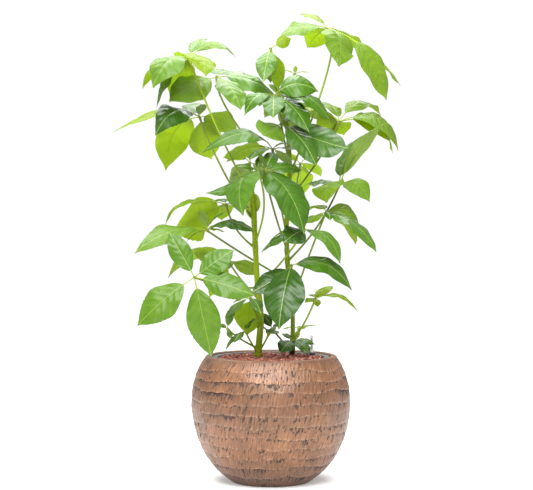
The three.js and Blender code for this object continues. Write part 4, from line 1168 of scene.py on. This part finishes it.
def makePetiole(base, leaf, name):
    root = stemPlace(stems[leaf["stem"]], leaf["height"])[0]
    hub = np.array(leaf["hub"], float)
    chord = hub - root
    length = np.linalg.norm(chord)
    lift = unit(np.array([0, 0, 1.0]) - chord * (chord[2] / length ** 2))
    sag = np.array(leaf["bend"], float) if "bend" in leaf else -petioleShape["sag"] * length * lift
    control = root + chord / 2 + sag
    petiole = copyPiece(base, name)
    _, along = sheetShares(petiole)
    fromRoot = along * length
    toHub = (1 - along) * length
    thin = petioleShape["radius"]
    atRoot = (petioleShape["root"] - thin) * np.exp(-(fromRoot / petioleShape["rootFlare"]) ** 2)
    atHub = (petioleShape["hub"] - thin) * np.exp(-((toHub - 1) / petioleShape["hubFlare"]) ** 2)
    radius = (thin + atRoot + atHub) * np.where(toHub < 0.5, 0.7, 1)
    direction = bendDirection(root, control, hub, along)
    centre = bend(root, control, hub, along) + direction * (2.2 * smoothStep(0.9, 1, along))[:, None]
    rollTube(petiole, centre, direction, radius)
    addValues(petiole, "lightTone", np.full(len(along), leaf.get("stalkLightTone", 0.1)))
    addValues(petiole, "along", along)
    return petiole


def makeLeaf(name, leaf, bases, dice):
    blades = []
    for number, leaflet in enumerate(leaf["leaflets"]):
        lightTone = leaf["lightTones"][number]
        small = np.linalg.norm(leaflet["to"]) < leafShape["smallBelow"]
        base = bases["smallBlade" if small else "blade"]
        blades.append(makeBlade(base, leaf, leaflet, lightTone, dice, f"{name}Blade{number}"))
    whorl = joinPieces(name + "Whorl", blades)
    whorl.data.materials.clear()
    for finish in leafFinishes:
        whorl.data.materials.append(finish)
    wall = whorl.modifiers.new("thickness", "SOLIDIFY")
    wall.thickness = leafShape["thickness"] * mm
    wall.offset = -1
    wall.material_offset = 1
    pick(whorl)
    bpy.ops.object.modifier_apply(modifier=wall.name)
    tubes = [makePetiole(bases["petiole"], leaf, name + "Petiole")]
    for number, leaflet in enumerate(leaf["leaflets"]):
        tubes.append(makeRib(bases["rib"], leaf, leaflet, leaf["lightTones"][number], f"{name}Rib{number}"))
    stalks = joinPieces(name + "Stalks", tubes)
    closeEnds(stalks)
    stalks.data.materials.clear()
    for finish in leafFinishes:
        stalks.data.materials.append(finish)
    stalks.data.polygons.foreach_set("material_index", np.full(len(stalks.data.polygons), 2, np.int32))
    stem, _, number = name.partition("_stem_leaf_")
    piece = joinPieces(f"{stem}Leaf{number}", [whorl, stalks])
    smoothFaces(piece, 60)
    settle(piece, None, "leaf", name)


def makeLeaves():
    bases = {
        "blade": makeSheet("bladeBase", *leafShape["grid"]),
        "smallBlade": makeSheet("smallBladeBase", *leafShape["smallGrid"]),
        "petiole": makeSheet("petioleBase", petioleShape["around"], petioleShape["along"]),
        "rib": makeSheet("ribBase", ribShape["around"], ribShape["along"]),
    }
    for number, (name, leaf) in enumerate(leaves.items()):
        makeLeaf(name, leaf, bases, random.Random(number))
    for base in bases.values():
        removePiece(base)


makeLeaves()
print("leaves grown")


# stems: ribbed green bark with a ring wherever a petiole leaves
def stemFinish(stem):
    young, old, woodBelow = stem["young"], stem["old"], stem["woodBelow"]
    material, tree = newFinish(stem["finish"])
    groove = readValue(tree, "groove")
    ring = readValue(tree, "ring")
    place = objectPlace(tree)
    height = addNode(tree, "ShaderNodeSeparateXYZ", {"Vector": place}).outputs[2]
    fibres = grain(tree, objectPlace(tree, (1, 1, 0.07)), 620, 4, 0.6)
    patches = grain(tree, objectPlace(tree, (1, 1, 0.4)), 90, 4, 0.6)
    base = colourRamp(tree, fibres, ((0.3, young[0]), (0.5, young[1]), (0.7, young[2])))
    base = mixColour(tree, calc(tree, "MULTIPLY", groove, 0.6), base, young[0])
    base = mixColour(tree, spread(tree, patches, 0.52, 0.72, 0.0, 0.4), base, young[2])
    base = mixColour(tree, calc(tree, "MULTIPLY", ring, 0.45), base, (62, 66, 14))
    bark = colourRamp(tree, patches, ((0.35, old[0]), (0.65, old[1])))
    edge = calc(tree, "ADD", height, calc(tree, "MULTIPLY_ADD", patches, 0.02, -0.01))
    base = mixColour(tree, spread(tree, edge, woodBelow - 0.006, woodBelow + 0.008, 1.0, 0.0), base, bark)
    relief = calc(tree, "ADD", fibres, calc(tree, "MULTIPLY", patches, 0.4))
    shader = addNode(tree, "ShaderNodeBsdfPrincipled", {
        "Base Color": base, "Roughness": spread(tree, fibres, 0.3, 0.7, 0.42, 0.6),
        "Specular IOR Level": 0.2, "Normal": bump(tree, relief, 0.5, 0.0006),
    })
    finishWith(tree, shader.outputs[0])
    return material


# the papery leaf base near the top of the left stem
sheath = {
    "bottom": 526, "top": 574, "left": 10.5, "right": 8.5, "hold": 5.8, "behind": 6.2, "curl": 7.0,
    "ripple": 1.2, "thickness": 0.6, "across": 20, "along": 18,
    "fibres": ((0.3, (168, 194, 56)), (0.5, (188, 210, 84)), (0.7, (208, 224, 126))),
    "through": 0.2,
}


def sheathFinish():
    material, tree = newFinish("paleSheath")
    fibres = grain(tree, objectPlace(tree, (1, 1, 0.25)), 420, 3, 0.6)
    base = colourRamp(tree, fibres, sheath["fibres"])
    normal = bump(tree, fibres, 0.4, 0.0005)
    surface = addNode(tree, "ShaderNodeBsdfPrincipled", {
        "Base Color": base, "Roughness": 0.5, "Specular IOR Level": 0.3, "Normal": normal,
    })
    glow = addNode(tree, "ShaderNodeBsdfTranslucent", {"Color": base})
    both = addNode(tree, "ShaderNodeMixShader", {
        0: sheath["through"], 1: surface.outputs[0], 2: glow.outputs[0],
    })
    finishWith(tree, both.outputs[0])
    return material


def makeSheath():
    # the pale, papery leaf base that clasps the left stem near its top, with an ear on each side
    piece = makeSheet("stemSheath", sheath["across"], sheath["along"])
    around, along = sheetShares(piece)
    across = 2 * around - 1
    centre = stemPlace(stems["left"], sheath["bottom"] + (sheath["top"] - sheath["bottom"]) * along)
    leftEar = sheath["left"] * np.sin(math.pi * along ** 0.8)
    rightEar = sheath["right"] * np.sin(math.pi * np.clip((along - 0.25) / 0.75, 0, 1)) ** 0.6
    reach = sheath["hold"] + np.where(across < 0, leftEar, rightEar)
    back = sheath["behind"] - sheath["curl"] * np.abs(across) ** 3
    back = back + sheath["ripple"] * np.sin(11 * along + 2 * across) * across ** 2
    offset = np.stack([across * reach, back, 1.5 * np.sin(7 * across)], 1)
    writePoints(piece, (centre + offset) * mm)
    piece.data.materials.append(sheathFinish())
    wall = piece.modifiers.new("thickness", "SOLIDIFY")
    wall.thickness = sheath["thickness"] * mm
    wall.offset = 0
    pick(piece)
    bpy.ops.object.modifier_apply(modifier=wall.name)
    smoothFaces(piece, 60)
    return piece


def makeStem(key, stem):
    line = np.array(stem["line"], float)
    sheet = makeSheet(stem["piece"], stem["around"], stem["along"])
    around, along = sheetShares(sheet)
    height = line[0, 2] + (line[-1, 2] - line[0, 2]) * along
    centre = stemPlace(stem, height)
    step = 2.0
    above = stemPlace(stem, np.minimum(height + step, line[-1, 2]))
    below = stemPlace(stem, np.maximum(height - step, line[0, 2]))
    radius = splineThrough(line[:, 2], np.array(stem["radii"], float), height)
    ring = np.zeros_like(along)
    swell = np.zeros_like(along)
    for leaf in leaves.values():
        if leaf["stem"] == key:
            offset = height - leaf["height"]
            swell += 0.55 * np.exp(-((offset + 2) / 6.0) ** 2)
            ring += np.exp(-((offset + 8) / 0.9) ** 2)
    twist = 2 * math.pi * around + 0.004 * height
    rib = np.cos(stem["ribs"] * twist) + 0.5 * np.cos((stem["ribs"] * 2 + 1) * twist + 1.3)
    wander = np.stack([np.cos(twist) * 0.9, np.sin(twist) * 0.9, height * 0.03], 1)
    radius = radius - 0.25 + np.clip(swell, 0, 0.8) + stem["ribDepth"] * (rib - 0.7)
    radius = radius + 0.35 * sampleNoise(wander) - 0.35 * np.clip(ring, 0, 1)
    topRound = np.sqrt(np.clip((1 - along) / 0.012, 0.02, 1))
    rollTube(sheet, centre, unit(above - below), radius * topRound)
    addValues(sheet, "groove", smoothStep(0.2, -1.1, rib))
    addValues(sheet, "ring", np.clip(ring, 0, 1))
    closeEnds(sheet)
    smoothFaces(sheet, 60)
    sheet.data.materials.clear()
    sheet.data.materials.append(stemFinish(stem))
    if key == "left":
        sheet = joinPieces(stem["piece"], [sheet, makeSheath()])
    settle(sheet, None, key + "_stem", key + "_stem")


for key, stem in stems.items():
    makeStem(key, stem)
print("stems grown")


# granules: loose lumps of fired clay over a dark bed, painted shade in the gaps between the lumps
granules = {
    "topHeight": 0.248,
    "relief": 0.0024,
    "waves": ((370, 210), (-330, 290)),
    "reach": 0.1062,
    "pitch": 0.005,
    "size": (0.0022, 0.0034),
    "kinds": 6,
    "bed": (
        (0.0, 0.0166), (0.0767, 0.0166), (0.1055, 0.2385), (0.1048, 0.2428), (0.05, 0.2432), (0.0, 0.2434),
    ),
    "bedSteps": 96,
    "seed": 5,
    "stemClear": {"left": 0.0079, "right": 0.0067},
    "lumpColours": (
        (0.0, (74, 28, 22)), (0.35, (134, 66, 50)), (0.75, (168, 97, 77)), (1.0, (204, 154, 136)),
    ),
    "pore": (62, 28, 28),
    "dust": (168, 124, 112),
    "bedShadeColours": ((0.35, (30, 16, 18)), (0.65, (56, 28, 28))),
}
# the gauge is laid out here as well, because no lump may lie where it stands
gauge = {
    "place": (0.083, 0.047, 0),
    "clear": 0.0078,
    "steps": 40,
    "tube": (
        (0.0021, 0.19), (0.0031, 0.19), (0.0031, 0.2892), (0.0028, 0.2904), (0.0018, 0.291), (0.0, 0.291),
        (0.0, 0.288), (0.0015, 0.2878), (0.0021, 0.2868), (0.0021, 0.19),
    ),
    "foot": (
        (0.0034, 0.2483), (0.0064, 0.2483), (0.0066, 0.2486), (0.0066, 0.2515), (0.0063, 0.2519),
        (0.0064, 0.2524), (0.0063, 0.2546), (0.0057, 0.2566), (0.0049, 0.2584), (0.0044, 0.2593),
        (0.0034, 0.2593), (0.0034, 0.2483),
    ),
    # each band of colour from its lower edge up
    "footBands": ((0, (44, 34, 50)), (0.2519, (150, 146, 166)), (0.2548, (222, 220, 232))),
    "floatBands": (
        (0, (190, 186, 180)), (0.2562, (150, 62, 40)), (0.2598, (206, 202, 196)),
        (0.2767, (236, 176, 40)), (0.2804, (206, 202, 196)),
    ),
    "float": (
        (0.0, 0.19), (0.0011, 0.19), (0.0011, 0.2560), (0.0016, 0.2564), (0.0016, 0.2596), (0.0011, 0.26),
        (0.0011, 0.2765), (0.0017, 0.2769), (0.0017, 0.2802), (0.0012, 0.281), (0.0, 0.281),
    ),
}


def clayFinish():
    material, tree = newFinish("firedClayLumps")
    lump = readValue(tree, "lump")
    pores = grain(tree, objectPlace(tree), 900, 4, 0.7)
    base = colourRamp(tree, lump, granules["lumpColours"])
    base = mixColour(tree, spread(tree, pores, 0.34, 0.56, 0.7, 0.0), base, granules["pore"])
    base = mixColour(tree, spread(tree, pores, 0.6, 0.78, 0.0, 0.45), base, granules["dust"])
    shader = addNode(tree, "ShaderNodeBsdfPrincipled", {
        "Base Color": base, "Roughness": 0.85, "Normal": bump(tree, pores, 0.7, 0.0009),
    })
    finishWith(tree, shader.outputs[0])
    return material


def bedFinish():
    material, tree = newFinish("clayBedPaintedShade")
    grit = grain(tree, objectPlace(tree), 380, 4, 0.7)
    # painted shade: the bed shows only in the gaps between the lumps, so it is painted as dark as their
    # shade
    base = colourRamp(tree, grit, granules["bedShadeColours"])
    shader = addNode(tree, "ShaderNodeBsdfPrincipled", {
        "Base Color": base, "Roughness": 0.9, "Normal": bump(tree, grit, 0.6, 0.002),
    })
    finishWith(tree, shader.outputs[0])
    return material


def makeLumpKind(number, dice):
    clearSelection()
    bpy.ops.mesh.primitive_uv_sphere_add(segments=7, ring_count=5, radius=1)
    lump = bpy.context.object
    lump.name = f"lumpKind{number}"
    points = readPoints(lump)
    shift = dice.uniform(0, 40)
    swell = 1 + 0.34 * sampleNoise(points * 0.9 + shift) + 0.16 * sampleNoise(points * 2.1 + shift)
    writePoints(lump, points * swell[:, None] * np.array([dice.uniform(0.85, 1.15) for _ in range(3)]))
    return lump


def turnFreely(dice):
    turns = [dice.uniform(0, 2 * math.pi) for _ in range(3)]
    made = np.eye(3)
    for axis, turn in enumerate(turns):
        c, s = math.cos(turn), math.sin(turn)
        step = np.eye(3)
        a, b = (axis + 1) % 3, (axis + 2) % 3
        step[a, a], step[a, b], step[b, a], step[b, b] = c, -s, s, c
        made = step @ made
    return made


def clayHeight(x, y):
    first, second = granules["waves"]
    swell = math.sin(first[0] * x + first[1] * y) + math.cos(second[0] * x + second[1] * y)
    return granules["topHeight"] - granules["relief"] * (0.5 + 0.25 * swell)


def standsInTheWay(x, y):
    # no lump sits where a stem or the gauge comes up
    spots = [(stemPlace(stems[key], 248)[0] * mm, clear) for key, clear in granules["stemClear"].items()]
    spots.append((np.array(gauge["place"]), gauge["clear"]))
    return any(math.hypot(x - spot[0], y - spot[1]) < clear for spot, clear in spots)


def makeGranules():
    dice = random.Random(granules["seed"])
    kinds = [makeLumpKind(number, dice) for number in range(granules["kinds"])]
    pitch, reach = granules["pitch"], granules["reach"]
    rows = int(reach / (pitch * 0.866)) + 1
    lumps = []
    for row in range(-rows, rows + 1):
        for column in range(-rows, rows + 1):
            x = (column + 0.5 * (row % 2)) * pitch + dice.uniform(-0.3, 0.3) * pitch
            y = row * pitch * 0.866 + dice.uniform(-0.3, 0.3) * pitch
            size = dice.uniform(*granules["size"])
            turn = turnFreely(dice)
            sink = dice.uniform(0.2, 1.5) * size
            shade = dice.random()
            kind = dice.choice(kinds)
            if math.hypot(x, y) > reach - size * 0.8 or standsInTheWay(x, y):
                continue
            lump = copyPiece(kind, f"lump{len(lumps)}")
            place = np.array([x, y, clayHeight(x, y) - sink])
            writePoints(lump, readPoints(lump) @ turn.T * size * np.array([1, 1, 0.85]) + place)
            addValues(lump, "lump", np.full(len(lump.data.vertices), shade))
            lumps.append(lump)
    for kind in kinds:
        removePiece(kind)
    top = joinPieces("clayTop", lumps)
    top.data.materials.append(clayFinish())
    smoothFaces(top, 50)
    bed = turnProfile("clayBed", granules["bed"], granules["bedSteps"])
    bed.data.materials.append(bedFinish())
    filling = joinPieces("clayFilling", [top, bed])
    settle(filling, None, "clay_granules", "clay_granules")
    print("granules laid:", len(lumps))


makeGranules()


# water-level gauge: a clear tube, its domed foot and the float's rod
def tubeFinish():
    material, tree = newFinish("clearTube")
    haze = grain(tree, objectPlace(tree, (1, 1, 0.2)), 500, 2)
    shader = addNode(tree, "ShaderNodeBsdfPrincipled", {
        "Base Color": srgb(232, 236, 240), "Roughness": spread(tree, haze, 0.3, 0.7, 0.08, 0.24),
        "IOR": 1.45, "Transmission Weight": 0.85,
    })
    finishWith(tree, shader.outputs[0])
    return material


def bandedPlastic(name, bands, grainScale):
    # plain plastic whose colour changes at given heights
    material, tree = newFinish(name)
    height = addNode(tree, "ShaderNodeSeparateXYZ", {"Vector": objectPlace(tree)}).outputs[2]
    specks = grain(tree, objectPlace(tree), grainScale, 3)
    base = bands[0][1]
    for start, colour in bands[1:]:
        base = mixColour(tree, spread(tree, height, start - 0.0002, start + 0.0002), base, colour)
    base = mixColour(tree, spread(tree, specks, 0.45, 0.8, 0.0, 0.25), base, (90, 84, 96))
    shader = addNode(tree, "ShaderNodeBsdfPrincipled", {
        "Base Color": base, "Roughness": spread(tree, specks, 0.3, 0.7, 0.28, 0.42),
        "Normal": bump(tree, specks, 0.15, 0.0002),
    })
    finishWith(tree, shader.outputs[0])
    return material


def makeGauge():
    cap = bandedPlastic("greyDomePlastic", gauge["footBands"], 700)
    rod = bandedPlastic("floatRodPlastic", gauge["floatBands"], 900)
    for name, key, finish, node in (
        ("clearGaugeTube", "tube", tubeFinish(), "gauge_tube"),
        ("gaugeFootDome", "foot", cap, "gauge_foot"),
        ("gaugeFloatRod", "float", rod, "gauge_float"),
    ):
        piece = turnProfile(name, gauge[key], gauge["steps"])
        movePoints(piece, gauge["place"])
        smoothFaces(piece, 50)
        settle(piece, finish, node, node)


makeGauge()
print("gauge set")


# floor, light and the white room
studio = {
    "floor": 30.0, "glowNear": 0.3, "glowFar": 0.68,
    "backdrop": 1.02, "room": 0.6,
    "aim": (0.0, 0.0, 0.35),
    "lamps": (
        {"name": "frontSoftbox", "place": (-0.05, -1.5, 1.75), "size": (1.7, 1.1), "power": 88.0},
        {"name": "overheadSoftbox", "place": (-0.25, 0.55, 2.3), "size": (2.6, 2.0), "power": 135.0},
    ),
}


def floorFinish():
    material, tree = newFinish("paleFloor")
    sheen = addNode(tree, "ShaderNodeBsdfDiffuse", {"Color": srgb(205, 205, 205)})
    # the floor's own glow is weaker near the pot, which paints a darker pool round the foot where its soft
    # shadow shows
    distance = addNode(tree, "ShaderNodeVectorMath", {0: objectPlace(tree)}, operation="LENGTH")
    strength = spread(tree, distance.outputs["Value"], 0.14, 0.7, studio["glowNear"], studio["glowFar"])
    glow = addNode(tree, "ShaderNodeEmission", {"Color": (1, 1, 1, 1), "Strength": strength})
    both = addNode(tree, "ShaderNodeAddShader", {0: sheen.outputs[0], 1: glow.outputs[0]})
    finishWith(tree, both.outputs[0])
    return material


def addLamp(name, place, size, power):
    aim = Vector(studio["aim"]) - Vector(place)
    turn = aim.to_track_quat("-Z", "Y").to_euler()
    bpy.ops.object.light_add(type="AREA", location=place, rotation=turn)
    lamp = bpy.context.object
    lamp.name = name
    lamp.data.shape = "RECTANGLE"
    lamp.data.size, lamp.data.size_y = size
    lamp.data.energy = power


def makeStudio():
    clearSelection()
    bpy.ops.mesh.primitive_plane_add(size=studio["floor"])
    floor = bpy.context.object
    floor.name = "studioFloor"
    floor.data.materials.append(floorFinish())
    for lamp in studio["lamps"]:
        addLamp(**lamp)
    world = bpy.context.scene.world or bpy.data.worlds.new("whiteRoom")
    bpy.context.scene.world = world
    world.use_nodes = True
    tree = world.node_tree
    tree.nodes.clear()
    # the white backdrop that is seen is brighter than the room that lights the plant
    rays = addNode(tree, "ShaderNodeLightPath").outputs
    seen = calc(tree, "MAXIMUM", rays["Is Camera Ray"], rays["Is Transmission Ray"])
    room = addNode(tree, "ShaderNodeBackground", {
        "Color": (1, 1, 1, 1),
        "Strength": calc(tree, "MULTIPLY_ADD", seen, studio["backdrop"] - studio["room"], studio["room"]),
    })
    output = addNode(tree, "ShaderNodeOutputWorld")
    tree.links.new(room.outputs[0], output.inputs["Surface"])
    bpy.context.scene.view_settings.view_transform = "Standard"


makeStudio()
print("studio lit")

clearSelection()
